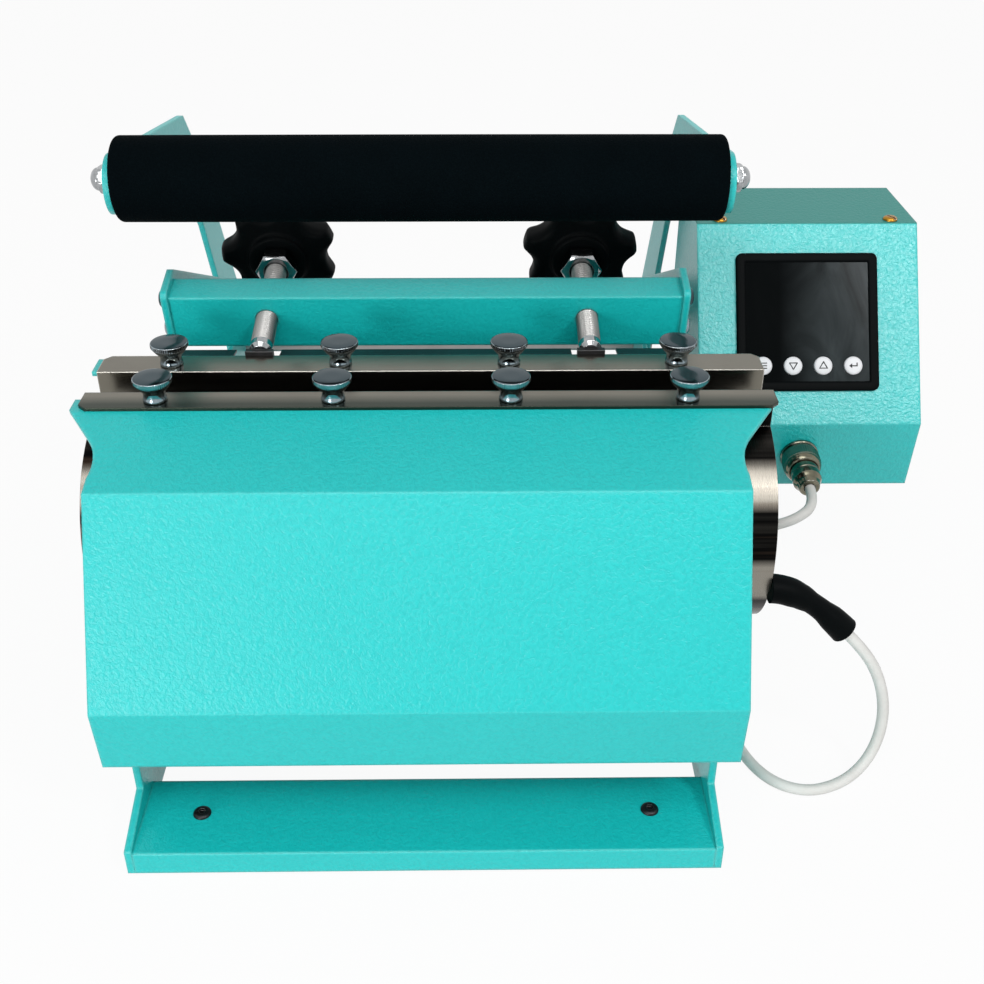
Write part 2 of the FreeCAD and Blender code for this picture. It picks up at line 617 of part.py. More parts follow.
def clipped_shaft(label, y, z, radius, half, clip_start):
    """A plain shaft along X with a retaining clip near each end."""
    parts = [cylinder(label + "_shaft", "x", f"-({half})", y, z, radius, f"2 * ({half})")]
    for side, sign in SIDES:
        x = clip_start if sign > 0 else f"-({clip_start}) - washer_wall"
        parts.append(cylinder(f"{label}_clip_{side}", "x", x, y, z, f"{radius} * 1.5", "washer_wall"))
    keep(fuse(label, *parts), label)


def shafts_and_bolts():
    clipped_shaft("jaw_hinge_pin", "bore_y", "hinge_z", "hinge_radius", "shell_half + 3", "shell_half + seat_gap")
    outer_arm = "arm_inner + arm_wall"
    clipped_shaft("lever_pivot_shaft", "pivot_y", "pivot_z", "pivot_radius", f"{outer_arm} + 3",
                  f"{outer_arm} + seat_gap")
    clipped_shaft("link_shaft", "link_y", "link_z", "link_radius", f"{outer_arm} + 3", f"{outer_arm}")
    spacers = []
    bolts = []
    pivots = []
    for side, sign in SIDES:
        cap_x = "side_outer" if sign > 0 else "-(side_outer + cap_gap)"
        arm_x = "side_outer" if sign > 0 else "-arm_inner"
        pivots.append(washer(f"hinge_washer_{side}", f"{cap_x} + run_play", "bore_y", "hinge_z", "lug_radius",
                             "hinge_radius + run_play", "cap_gap - 2 * run_play"))
        pivots.append(washer(f"lever_washer_{side}", f"{arm_x} + run_play", "pivot_y", "pivot_z", "pivot_radius * 2",
                             "pivot_radius + run_play", "arm_gap - 2 * run_play"))
        for level in ("low", "high"):
            z = f"shell_bolt_{level}"
            spacers.append(washer(f"spacer_{side}_{level}", cap_x, "shell_bolt_y", z, "shell_bolt_radius * 2.4",
                                  "shell_bolt_radius + run_play", "cap_gap"))
            head_x = "shell_half" if sign > 0 else "-shell_half - bolt_head"
            shank_x = "side_inner - shell_bolt_reach" if sign > 0 else "-shell_half"
            nut_x = "side_inner - shell_nut" if sign > 0 else "-side_inner"
            head = cylinder(f"shell_head_{side}_{level}", "x", head_x, "shell_bolt_y", z,
                            "shell_bolt_radius * 1.8", "bolt_head")
            shank = cylinder(f"shell_shank_{side}_{level}", "x", shank_x, "shell_bolt_y", z,
                             "shell_bolt_radius", "shell_half - side_inner + shell_bolt_reach")
            nut = hexagon(f"shell_nut_{side}_{level}", nut_x, "shell_bolt_y", z, "shell_bolt_radius * 1.9", "shell_nut")
            bolts.append(fuse(f"shell_bolt_{side}_{level}", head, shank, nut))
    keep(group("pivot_washers", pivots), "pivot_washers")
    keep(group("shell_spacers", spacers), "shell_spacers")
    keep(group("shell_bolts", bolts), "shell_bolts")


def hexagon(name, x, y, z, radius, length):
    item = doc.addObject("Part::Prism", name)
    item.Polygon = 6
    bind(item, Circumradius=radius, Height=length)
    place(item, x, y, z, TURN["x"])
    return item


def lever_arms():
    """Two bent flat arms that join the handle to the pivot behind the press."""
    outline = [
        ("grip_y - grip_end", "grip_z + grip_end"), ("grip_y + top_run", "grip_z + top_rise"),
        ("grip_y + crest_run", "grip_z - crest_drop"), ("grip_y + heel_run", "grip_z - heel_drop"),
        ("grip_y + back_run", "grip_z - back_drop"), ("pivot_y + hip_run", "pivot_z + hip_rise"),
        ("pivot_y + pivot_boss", "pivot_z - pivot_boss"), ("pivot_y - pivot_boss", "pivot_z - pivot_boss"),
        ("pivot_y - shin_run", "pivot_z + shin_rise"), ("grip_y + knee_run", "grip_z - knee_fall"),
        ("grip_y + fold_run", "grip_z - fold_drop"), ("grip_y + top_run", "grip_z - under_drop"),
        ("grip_y - grip_end", "grip_z - grip_end"),
    ]
    holes = [("grip_y", "grip_z", "grip_rod_radius + run_play"), ("link_y", "link_z", "link_radius + run_play"),
             ("pivot_y", "pivot_z", "pivot_radius + run_play")]
    corners = [("grip_y - grip_end", "grip_z + grip_end", "grip_end * 0.96"),
               ("grip_y - grip_end", "grip_z - grip_end", "grip_end * 0.96"),
               ("pivot_y + pivot_boss", "pivot_z - pivot_boss", "pivot_boss * 0.93"),
               ("pivot_y - pivot_boss", "pivot_z - pivot_boss", "pivot_boss * 0.93"),
               ("grip_y + heel_run", "grip_z - heel_drop", "grip_end"),
               ("grip_y + crest_run", "grip_z - crest_drop", "bar_corner"),
               ("grip_y + fold_run", "grip_z - fold_drop", "grip_end")]
    for side, sign in SIDES:
        body = plate(f"lever_arm_{side}", outline, side_start(sign, "arm_inner", "arm_wall"), "arm_wall",
                     holes, corners)
        keep(body, f"lever_arm_{side}")


def handle():
    """The cross tube with its foam sleeve, held by one long rod and two acorn nuts."""
    nut_x = "(arm_inner + arm_wall + washer_wall)"
    rod_half = f"({nut_x} + acorn_length - acorn_bottom)"
    keep(cylinder("handle_rod", "x", f"-{rod_half}", "grip_y", "grip_z", "grip_rod_radius", f"2 * {rod_half}"),
         "handle_rod")
    tube_half = "(arm_inner - run_play)"
    tube = cut("handle_tube", cylinder("handle_tube_outer", "x", f"-{tube_half}", "grip_y", "grip_z",
                                       "grip_tube_radius", f"2 * {tube_half}"),
               cylinder("handle_tube_inner", "x", "-arm_inner", "grip_y", "grip_z", "grip_rod_radius + run_play",
                        "2 * arm_inner"))
    keep(tube, "handle_tube")
    foam = turned("foam_grip", [
        ("grip_tube_radius", "-foam_half"), ("foam_radius - foam_round", "-foam_half"),
        ("foam_radius", "foam_round - foam_half"), ("foam_radius", "foam_half - foam_round"),
        ("foam_radius - foam_round", "foam_half"), ("grip_tube_radius", "foam_half"),
    ], "x", "0", "grip_y", "grip_z")
    keep(foam, "foam_grip")
    nuts = []
    for side, sign in SIDES:
        turn = TURN["x"] if sign > 0 else FreeCAD.Rotation(V(0, 1, 0), -90)
        x = nut_x if sign > 0 else f"-{nut_x}"
        dome = turned(f"acorn_dome_{side}", [
            ("grip_rod_radius", "0"), ("acorn_radius * 0.95", "0"), ("acorn_radius", "acorn_length * 0.05"),
            ("acorn_radius", "acorn_length * 0.46"), ("acorn_radius * 0.88", "acorn_length * 0.52"),
            ("acorn_radius * 0.86", "acorn_length * 0.64"), ("acorn_radius * 0.72", "acorn_length * 0.83"),
            ("acorn_radius * 0.42", "acorn_length * 0.96"), ("0", "acorn_length"),
            ("0", "acorn_length - acorn_bottom + seat_gap"),
            ("grip_rod_radius", "acorn_length - acorn_bottom + seat_gap"),
        ], "x", x, "grip_y", "grip_z", turn)
        nuts.append(dome)
        washer_x = "arm_inner + arm_wall" if sign > 0 else f"-{nut_x}"
        nuts.append(washer(f"acorn_washer_{side}", washer_x, "grip_y", "grip_z", "acorn_radius * 1.15",
                           "grip_rod_radius + run_play", "washer_wall"))
    keep(group("acorn_nuts", nuts), "acorn_nuts")
    sleeves = []
    for side, sign in SIDES:
        x = "beam_half + link_wall + run_play" if sign > 0 else "-arm_inner + run_play"
        sleeves.append(washer(f"link_sleeve_{side}", x, "link_y", "link_z", "link_radius + sleeve_wall",
                              "link_radius + run_play", "link_gap - 2 * run_play"))
    keep(group("link_spacers", sleeves), "link_spacers")


BOLT_SPOTS = (("upper", "beam_height - beam_below - beam_bolt_inset"), ("lower", "beam_bolt_inset - beam_below"))


def press_beam():
    """The box beam that the two pressure screws pass through, closed at its ends."""
    body = doc.addObject("PartDesign::Body", "press_beam")
    profile = new_sketch(body, "press_beam_profile", "YZ")
    add_outline(profile, [("0", "0"), ("beam_depth", "0"), ("beam_depth", "beam_height"), ("0", "beam_height")])
    pad(body, profile, "2 * beam_half", both_ways=True)
    inside = new_sketch(body, "press_beam_inside", "YZ")
    add_outline(inside, [("beam_wall", "beam_wall"), ("beam_depth - beam_wall", "beam_wall"),
                         ("beam_depth - beam_wall", "beam_height - beam_wall"),
                         ("beam_wall", "beam_height - beam_wall")])
    pocket(body, inside, "2 * (beam_half - link_wall)", both_ways=True)
    drill = new_sketch(body, "press_beam_drill", "XZ")
    for x in ("-rod_x", "rod_x"):
        add_circle(drill, x, "beam_below", "rod_radius + run_play")
    pocket(body, drill, both_ways=True)
    bolts = new_sketch(body, "press_beam_bolt_holes", "YZ")
    for level, above in BOLT_SPOTS:
        add_circle(bolts, "beam_depth / 2", f"beam_below + {above}", "bolt_radius + run_play")
    pocket(body, bolts, both_ways=True)
    place(body, "0", *on_rod("beam_start", "-beam_below"), FreeCAD.Rotation(V(1, 0, 0), number_of("rod_slope")))
    bind(body, Placement__Rotation__Angle="rod_slope")
    keep(body, "press_beam")


def links():
    """Two side links from the beam's ends to the lever, and the bolts that hold them."""
    fore, aft = "beam_start - link_fore", "beam_start + beam_depth"
    top = "beam_height - beam_below"
    outline = [
        on_rod(fore, f"{top} + link_rim"), on_rod(f"{aft} + link_rim", f"{top} + link_rim"),
        ("link_y + link_tail / 2", "link_z + link_tail"), ("link_y + link_tail", "link_z"),
        ("link_y + link_tail / 2", "link_z - link_tail"), ("link_y - link_tail / 2", "link_z - link_tail"),
        on_rod(f"{aft} - link_rim", "-beam_below - link_fore"), on_rod(fore, "-beam_below - link_fore"),
    ]
    holes = [("link_y", "link_z", "link_radius + run_play")]
    holes += [(*on_rod("beam_start + beam_depth / 2", above), "bolt_radius + run_play")
              for level, above in BOLT_SPOTS]
    corners = [("link_y + link_tail", "link_z", "lug_radius"), (*on_rod(fore, f"{top} + link_rim"), "bar_corner"),
               (*on_rod(fore, "-beam_below - link_fore"), "bar_corner")]
    bolts = []
    for side, sign in SIDES:
        body = plate(f"side_link_{side}", outline, side_start(sign, "beam_half", "link_wall"), "link_wall",
                     holes, corners)
        keep(body, f"side_link_{side}")
        outer = "(beam_half + link_wall)"
        for level, above in BOLT_SPOTS:
            y, z = on_rod("beam_start + beam_depth / 2", above)
            head_x = outer if sign > 0 else f"-{outer} - bolt_head"
            shank_x = "beam_half - link_wall" if sign > 0 else f"-{outer}"
            head = cylinder(f"beam_head_{side}_{level}", "x", head_x, y, z, "bolt_head_radius", "bolt_head")
            shank = cylinder(f"beam_shank_{side}_{level}", "x", shank_x, y, z, "bolt_radius", "2 * link_wall")
            bolts.append(fuse(f"beam_bolt_{side}_{level}", head, shank))
    keep(group("beam_bolts", bolts), "beam_bolts")


def pressure_screws():
    """Swivel tip, threaded rod, hexagon nut and star knob on each side, all on the sloping axis."""
    blocks = []
    for side, sign in SIDES:
        x = "rod_x" if sign > 0 else "-rod_x"
        tip = turned(f"swivel_tip_{side}", [
            ("0", "tip_gap"), ("rod_radius * 0.7", "tip_gap"), ("rod_radius", "tip_round"),
            ("rod_radius", "tip_length"), ("0", "tip_length"),
        ], "z", x, "tip_y", "tip_z")
        aim_along_rod(tip, x, "0")
        keep(tip, f"swivel_tip_{side}")
        rod = tilted_cylinder(f"pressure_rod_{side}", x, "tip_length", "rod_radius",
                              "nut_start + nut_height + knob_height * 0.7 - tip_length")
        keep(rod, f"pressure_rod_{side}")
        blank = doc.addObject("Part::Prism", f"hex_nut_{side}_blank")
        blank.Polygon = 6
        bind(blank, Circumradius="nut_flats / sqrt(3)", Height="nut_height")
        aim_along_rod(blank, x, "nut_start")
        bore = tilted_cylinder(f"hex_nut_{side}_bore", x, "nut_start - 1", "rod_radius", "nut_height + 2")
        keep(cut(f"hex_nut_{side}_cut", blank, bore), f"hex_nut_{side}")
        keep(star_knob(side, x), f"star_knob_{side}")
        blocks.append(pressure_block(side, x))
    keep(group("pressure_blocks", blocks), "pressure_blocks")


def star_knob(side, x):
    """A lobed knob: a disc with a ring of scallops and a raised hub."""
    body = doc.addObject("PartDesign::Body", f"star_knob_{side}")
    disc = new_sketch(body, f"star_knob_{side}_disc", "XY", ("0", "0", "knob_height * 0.15"))
    add_circle(disc, "0", "0", "knob_radius")
    pad(body, disc, "knob_height * 0.7")
    scallop = new_sketch(body, f"star_knob_{side}_scallop", "XY", ("0", "0", "knob_height"))
    far = "(knob_radius + knob_scallop * 0.55)"
    add_circle(scallop, f"-{far} * sin(knob_turn_{side})", f"{far} * cos(knob_turn_{side})", "knob_scallop")
    first = pocket(body, scallop, "knob_height")
    pattern = body.newObject("PartDesign::PolarPattern", f"star_knob_{side}_scallops")
    pattern.Originals = [first]
    pattern.Axis = (scallop, ["N_Axis"])
    pattern.Angle = 360
    bind(pattern, Occurrences="knob_lobes")
    body.Tip = pattern
    doc.recompute()
    hub = new_sketch(body, f"star_knob_{side}_hub", "XY")
    add_circle(hub, "0", "0", "knob_radius * 0.5")
    pad(body, hub, "knob_height")
    hole = new_sketch(body, f"star_knob_{side}_hole", "XY", ("0", "0", "knob_height * 0.7"))
    add_circle(hole, "0", "0", "rod_radius")
    pocket(body, hole, "knob_height * 0.7")
    aim_along_rod(body, x, "nut_start + nut_height")
    return body


def pressure_block(side, x):
    """A steel pad on the jaw's flange corner whose rear face meets the screw's tip squarely."""
    corner = "(flange_z + rear_flange)"
    reach = f"(({corner} - tip_y - tip_z) / (sin(rod_slope) - cos(rod_slope)))"
    face_low = (f"tip_y + {reach} * sin(rod_slope)", f"tip_z - {reach} * cos(rod_slope)")
    face_top = ("tip_y - block_rise * sin(rod_slope)", "tip_z + block_rise * cos(rod_slope)")
    outline = [("rear_flange", "flange_z"), ("rear_flange", "tip_z + block_rise * cos(rod_slope)"), face_top, face_low]
    return plate(f"pressure_block_{side}", outline, f"{x} - block_width / 2", "block_width")


PANEL_RUN = "(crown_y - chin_y)"
PANEL_RISE = "(crown_z - chin_z)"
PANEL_TILT = f"atan({PANEL_RISE} / {PANEL_RUN})"
CHIN_TILT = "atan((box_low_y - chin_y) / (chin_z - box_low_z))"
PLUG_TURN = f"90 deg + {CHIN_TILT}"
KEYS = ("menu", "down", "up", "enter")


def on_panel(sketch_owner, name, depth):
    """A sketch parallel to the raked panel, at a depth below the box's face; its origin is the panel's corner."""
    across = "box_left + panel_left"
    y = f"chin_y + {depth} * sin({PANEL_TILT}) + panel_low * cos({PANEL_TILT})"
    z = f"chin_z - {depth} * cos({PANEL_TILT}) + panel_low * sin({PANEL_TILT})"
    return new_sketch(sketch_owner, name, "XY", (across, y, z), PANEL_TILT)


def key_centre(index):
    return f"panel_width / 2 + ({index} - 1.5) * key_pitch", "key_row"


def control_box():
    """A folded box beside the press, its face raked back, closed by a flat back cover."""
    body = plate("control_box_case", [
        ("box_low_y", "box_low_z"), ("chin_y", "chin_z"), ("crown_y", "crown_z"), ("box_rear_y", "crown_z"),
        ("box_rear_y", "box_low_z")], "box_left", "box_width")
    hollow(body, "box_wall", lambda face: face.normalAt(0, 0).y > 0.99)
    window = on_panel(body, "control_box_window", "0")
    add_outline(window, rectangle("window_rim", "window_rim", "panel_width - window_rim",
                                  "panel_height - window_rim"))
    pocket(body, window, "box_wall * 2")
    lid = new_sketch(body, "control_box_lid_holes", "XY", ("0", "0", "crown_z"))
    for x in ("box_left + lid_inset", "box_left + box_width - lid_inset"):
        add_circle(lid, x, "crown_y + lid_setback", "lid_screw_radius + run_play")
    pocket(body, lid, "box_wall * 2")
    socket = new_sketch(body, "control_box_socket_hole", "XZ", ("0", "0", "-chin_y - thread_radius"))
    add_circle(socket, "box_left + socket_right", f"box_low_z + socket_up * cos({CHIN_TILT})",
               "thread_radius + thread_play")
    pocket(body, socket, "thread_radius * 3", both_ways=True)
    keep(body, "control_box_case")
    gap = "(box_wall + screw_play)"
    back = block("control_box_back_plate", f"box_left + {gap}", "box_rear_y - box_wall", f"box_low_z + {gap}",
                 f"box_width - 2 * {gap}", "box_wall", f"crown_z - box_low_z - 2 * {gap}")
    holes = [block("inlet_hole", "box_left + inlet_left", "box_rear_y - box_wall * 2", "rear_low", "inlet_width",
                   "box_wall * 4", "inlet_height"),
             block("switch_hole", "box_left + switch_left", "box_rear_y - box_wall * 2", "rear_low", "switch_width",
                   "box_wall * 4", "switch_height")]
    keep(cut("control_box_back_cut", back, *holes), "control_box_back")
    lid_screws = []
    for side, x in (("left", "box_left + lid_inset"), ("right", "box_left + box_width - lid_inset")):
        lid_screws.append(turned(f"lid_screw_{side}", [
            ("0", "-lid_screw_length"), ("lid_screw_radius", "-lid_screw_length"), ("lid_screw_radius", "0"), ("lid_head_radius", "0"),
            ("lid_head_radius", "lid_head * 0.5"), ("lid_head_radius * 0.75", "lid_head * 0.9"),
            ("0", "lid_head")], "z", x, "crown_y + lid_setback", "crown_z"))
    keep(group("lid_screws", lid_screws), "lid_screws")
    bracket = block("box_bracket", "side_outer", "bracket_start", "rail_z - bracket_height - bracket_drop",
                    "box_gap", "bracket_length", "bracket_height")
    keep(bracket, "box_bracket")


def panel_and_keys():
    """The glossy display panel on its posts, the circuit board behind it and four round keys."""
    body = new_body("display_panel")
    face = on_panel(body, "display_panel_face", "0")
    add_outline(face, rectangle("0", "0", "panel_width", "panel_height"))
    for index, word in enumerate(KEYS):
        add_circle(face, *key_centre(index), "key_radius + key_play")
    pad(body, face, "panel_proud")
    posts = on_panel(body, "display_panel_posts", "0")
    inset = "(window_rim + post_radius + 1)"
    for across in (inset, f"panel_width - {inset}"):
        for up in ("key_row + key_radius + post_radius + post_gap", f"panel_height - {inset}"):
            add_circle(posts, across, up, "post_radius")
    pad(body, posts, "box_wall + board_gap", reverse=True)
    round_panel(body)
    keep(body, "display_panel")
    board = new_body("circuit_board")
    outline = on_panel(board, "circuit_board_outline", "(box_wall + board_gap)")
    rim = "(window_rim + 1)"
    add_outline(outline, rectangle(rim, rim, f"panel_width - {rim}", f"panel_height - {rim}"))
    pad(board, outline, "board_wall", reverse=True)
    keep(board, "circuit_board")
    for index, word in enumerate(KEYS):
        key = new_body(f"key_{word}")
        disc = on_panel(key, f"key_{word}_disc", "0")
        add_circle(disc, *key_centre(index), "key_radius")
        pad(key, disc, "panel_proud + key_proud")
        stem = on_panel(key, f"key_{word}_stem", "0")
        add_circle(stem, *key_centre(index), "key_radius * 0.6")
        pad(key, stem, "key_depth", reverse=True)
        keep(key, f"key_{word}")


def round_panel(body):
    """Round the four corners of the panel's plate."""
    tilt = math.radians(number_of(PANEL_TILT))
    normal = V(0, -math.sin(tilt), math.cos(tilt))
    names = []
    for index, edge in enumerate(body.Tip.Shape.Edges, start=1):
        ends = [vertex.Point for vertex in edge.Vertexes]
        if len(ends) == 2 and isinstance(edge.Curve, Part.Line):
            along = ends[1] - ends[0]
            if abs(abs(along.dot(normal)) - number_of("panel_proud")) < 1e-4:
                names.append(f"Edge{index}")
    base = body.Tip
    item = body.newObject("PartDesign::Fillet", "display_panel_corners")
    item.Base = (base, names)
    bind(item, Radius="panel_corner")
    doc.recompute()


def rear_fittings():
    """Mains inlet and rocker switch on the back of the control box."""
    y = "box_rear_y"
    low = "rear_low"
    for name, left, width, height, depth in (
            ("inlet", "box_left + inlet_left", "inlet_width", "inlet_height", "inlet_depth"),
            ("switch", "box_left + switch_left", "switch_width", "switch_height", "switch_depth")):
        core = block(f"{name}_core", f"{left} + inlet_play", f"{y} - {depth}", f"{low} + inlet_play",
                     f"{width} - 2 * inlet_play", depth, f"{height} - 2 * inlet_play")
        rim = block(f"{name}_rim", f"{left} - inlet_rim", y, f"{low} - inlet_rim", f"{width} + 2 * inlet_rim",
                    "box_wall", f"{height} + 2 * inlet_rim")
        well = block(f"{name}_well", f"{left} + inlet_rim", f"{y} - {depth} + inlet_floor", f"{low} + inlet_rim",
                     f"{width} - 2 * inlet_rim", depth, f"{height} - 2 * inlet_rim")
        casing = cut(f"{name}_casing", fuse(f"{name}_solid", core, rim), well)
        if name == "inlet":
            spots = (("-blade_pitch", "-blade_drop"), ("0", "blade_rise"), ("blade_pitch", "-blade_drop"))
            blades = [block(f"inlet_blade_{count}", f"{left} + inlet_width / 2 + {offset} - blade_wall / 2",
                            f"{y} - {depth} + inlet_floor", f"{low} + inlet_height / 2 + {up} - blade_height / 2",
                            "blade_wall", f"{depth} - inlet_floor - blade_setback", "blade_height")
                      for count, (offset, up) in enumerate(spots)]
            casing = fuse("inlet_with_blades", casing, *blades)
            keep(casing, "power_inlet")
        else:
            keep(casing, "switch_frame")
    rocker = doc.addObject("PartDesign::Body", "rocker")
    profile = new_sketch(rocker, "rocker_profile", "YZ", ("0", "0", "-(switch_width / 2 - inlet_rim - rocker_gap)"))
    half = "(switch_height / 2 - inlet_rim - rocker_end)"
    add_outline(profile, [("-rocker_deep", f"-{half}"), ("rocker_crest", f"-{half}"), ("rocker_waist", "0"),
                          ("rocker_crest", half), ("-rocker_deep", half)])
    pad(rocker, profile, "switch_width - 2 * inlet_rim - 2 * rocker_gap")
    rocker_half = "(switch_width / 2 - inlet_rim - rocker_gap)"
    for side, start in (("left", f"-{rocker_half} - pin_reach"), ("right", rocker_half)):
        pin = new_sketch(rocker, f"rocker_pin_{side}", "YZ", ("0", "0", start))
        add_circle(pin, "0", "0", "pin_radius")
        pad(rocker, pin, "pin_reach")
    place(rocker, "box_left + switch_left + switch_width / 2", f"{y} - rocker_sink", f"{low} + switch_height / 2",
          FreeCAD.Rotation(V(1, 0, 0), number_of("rocker_tilt")))
    bind(rocker, Placement__Rotation__Angle="rocker_tilt")
    keep(rocker, "rocker")


def plug_axis_point(along):
    """Y and Z at a distance in front of the box's lower face, on the socket's axis."""
    y = f"box_low_y - socket_up * sin({CHIN_TILT}) - ({along}) * cos({CHIN_TILT})"
    z = f"box_low_z + socket_up * cos({CHIN_TILT}) - ({along}) * sin({CHIN_TILT})"
    return y, z


def plug_and_socket():
    """The panel socket, the plug pushed into it and the ring that locks the two."""
    x = "box_left + socket_right"
    mouth_end = "socket_flange + thread_length"
    ring_start = "socket_flange + seat_gap"
    bore = "thread_radius - socket_wall"
    shapes = {
        "panel_socket": [
            ("0", "-socket_shank"), ("thread_radius", "-socket_shank"), ("thread_radius", "0"), ("socket_radius", "0"),
            ("socket_radius", "socket_flange"), ("thread_radius", "socket_flange"), ("thread_radius", mouth_end),
            (bore, mouth_end), (bore, "socket_flange * 1.5"), ("0", "socket_flange * 1.5")],
        "plug_body": [
            ("0", "socket_flange * 1.5 + thread_play"), (f"{bore} - ring_play", "socket_flange * 1.5 + thread_play"),
            (f"{bore} - ring_play", f"{mouth_end} + thread_play"), ("plug_radius", f"{mouth_end} + thread_play"),
            ("plug_radius", "plug_length - plug_taper"), ("plug_radius * 0.75", "plug_length - plug_taper / 4"),
            ("plug_radius * 0.6", "plug_length"), ("0", "plug_length")],
        "locking_ring": [
            ("thread_radius + ring_play", ring_start), ("ring_radius", ring_start),
            ("ring_radius", f"{ring_start} + ring_length"), ("plug_radius + ring_play", f"{ring_start} + ring_length"),
            ("plug_radius + ring_play", f"{mouth_end} + 2 * thread_play"),
            ("thread_radius + ring_play", f"{mouth_end} + 2 * thread_play")],
    }
    for name, outline in shapes.items():
        body = turned(name, outline, "z", x, "chin_y", "chin_z")
        place(body, x, *plug_axis_point("0"), FreeCAD.Rotation(V(1, 0, 0), number_of(PLUG_TURN)))
        bind(body, Placement__Rotation__Angle=PLUG_TURN)
        keep(body, name)


def smooth_tube(points, radius):
    """A round tube along straight runs joined by tangent arcs; prints the arcs' radii."""
    corners = [V(*point) for point in points]
    edges = []
    radii = []
    start = corners[0]
    for before, here, after in zip(corners, corners[1:], corners[2:]):
        back = (before - here).normalize()
        ahead = (after - here).normalize()
        turn = math.pi - back.getAngle(ahead)
        trim = 0.45 * min((before - here).Length, (after - here).Length)
        arc_radius = trim / math.tan(turn / 2)
        radii.append(round(arc_radius, 1))
        first = here + back * trim
        last = here + ahead * trim
        bisector = (back + ahead).normalize()
        middle = here + bisector * (arc_radius / math.cos(turn / 2) - arc_radius)
        edges.append(Part.LineSegment(start, first).toShape())
        edges.append(Part.Arc(first, middle, last).toShape())
        start = last
    edges.append(Part.LineSegment(start, corners[-1]).toShape())
    path = Part.Wire(edges)
    section = Part.Wire([Part.Circle(corners[0], corners[1] - corners[0], radius).toShape()])
    solid = path.makePipeShell([section], True, False)
    expected = math.pi * radius ** 2 * path.Length
    print(f"tube {path.Length:.1f} long, arc radii {radii}, volume ratio {solid.Volume / expected:.4f}")
    return solid


# The lead's route between the boot and the plug, from the floor and the base's front edge.
LEAD_ROUTE = (
    (188.5, 62.5, 64.0), (197.0, 61.5, 49.0), (201.5, 60.5, 32.0), (200.5, 58.0, 16.0), (194.0, 53.0, 5.5),
    (182.0, 45.0, 2.6), (166.5, 40.5, 2.6), (152.5, 46.5, 2.6), (143.5, 61.0, 2.6), (139.0, 82.0, 2.6),
    (138.5, 106.0, 2.6), (140.0, 127.0, 4.5), (143.0, 145.0, 14.0), (145.5, 153.0, 31.0),
    (147.5, 153.0, 50.0), (152.5, 148.0, 66.0), (161.5, 141.0, 76.0), (174.0, 140.0, 81.0),
)


def boot_and_lead():
    """The boot where the element's lead leaves the band's end, and the lead up to the plug."""
    radius = number_of("bore_radius + (mat_wall + band_wall) * 0.8")
    boot_reach = number_of("boot_reach")
    angle = math.radians(number_of("boot_angle"))
    floor = V(0, -number_of("bore_y"), -number_of("bore_z"))
    root = V(number_of("clamp_shift + band_half"), -radius * math.cos(angle), -radius * math.sin(angle))
    route = [V(*point) + floor for point in LEAD_ROUTE]
    plug_x = number_of("box_left + socket_right")
    plug_y, plug_z = (number_of(text) for text in plug_axis_point("plug_length"))
    end = V(plug_x, plug_y, plug_z) + floor
    before_y, before_z = (number_of(text) for text in plug_axis_point("plug_length + 12"))
    route.append(V(plug_x, before_y, before_z) + floor)
    elbow = root + V(boot_reach, 0, 0)
    mouth = elbow + (route[0] - elbow) * 0.66
    boot_radius = number_of("boot_radius")
    boot = smooth_tube([root, elbow, mouth], boot_radius)
    toward = (mouth - elbow).normalize()
    flare_length = number_of("boot_flare")
    flare = Part.makeCone(boot_radius - number_of("seat_gap"), number_of("boot_end_radius"), flare_length,
                          mouth - toward * flare_length, toward)
    boot_item = doc.addObject("Part::Feature", "lead_boot_shape")
    boot_item.Shape = boot.fuse(flare).removeSplitter()
    keep(boot_item, "lead_boot")
    lead = doc.addObject("Part::Feature", "element_lead_shape")
    lead.Shape = smooth_tube([mouth] + route + [end], number_of("lead_radius"))
    keep(lead, "element_lead")


side_plates()
base_plates()
front_shell()
rear_shell()
for row in ("front", "rear"):
    clamp_bar(row)
    element(row)
    thumb_screws(row)
shafts_and_bolts()
lever_arms()
handle()
press_beam()
links()
pressure_screws()
control_box()
panel_and_keys()
rear_fittings()
plug_and_socket()
boot_and_lead()
doc.recompute()

for item in doc.Objects:
    if "Invalid" in item.State or "Error" in item.State:
        sys.exit(f"{item.Name} failed: {item.State}")
for item in nodes:
    if item.Shape.isNull() or not item.Shape.isValid() or not item.Shape.Solids:
        sys.exit(f"{item.Label} has no valid solid")

os.makedirs("parts", exist_ok=True)
for item in nodes:
    item.Shape.exportStep(f"parts/{item.Label}.step")
print(f"{len(nodes)} pieces written")
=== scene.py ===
"""Tumbler heat press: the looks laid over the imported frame.

The origin is the middle of the heated bore. X runs to the right, Y to the rear and Z up.
Blender's own units are metres. Routes, profiles and the sizes of turned and cut shapes are in
millimetres, and MM turns them into metres.
"""
import json
from math import atan2, cos, pi, radians, sin, sqrt

import bpy
from mathutils import Matrix, Vector


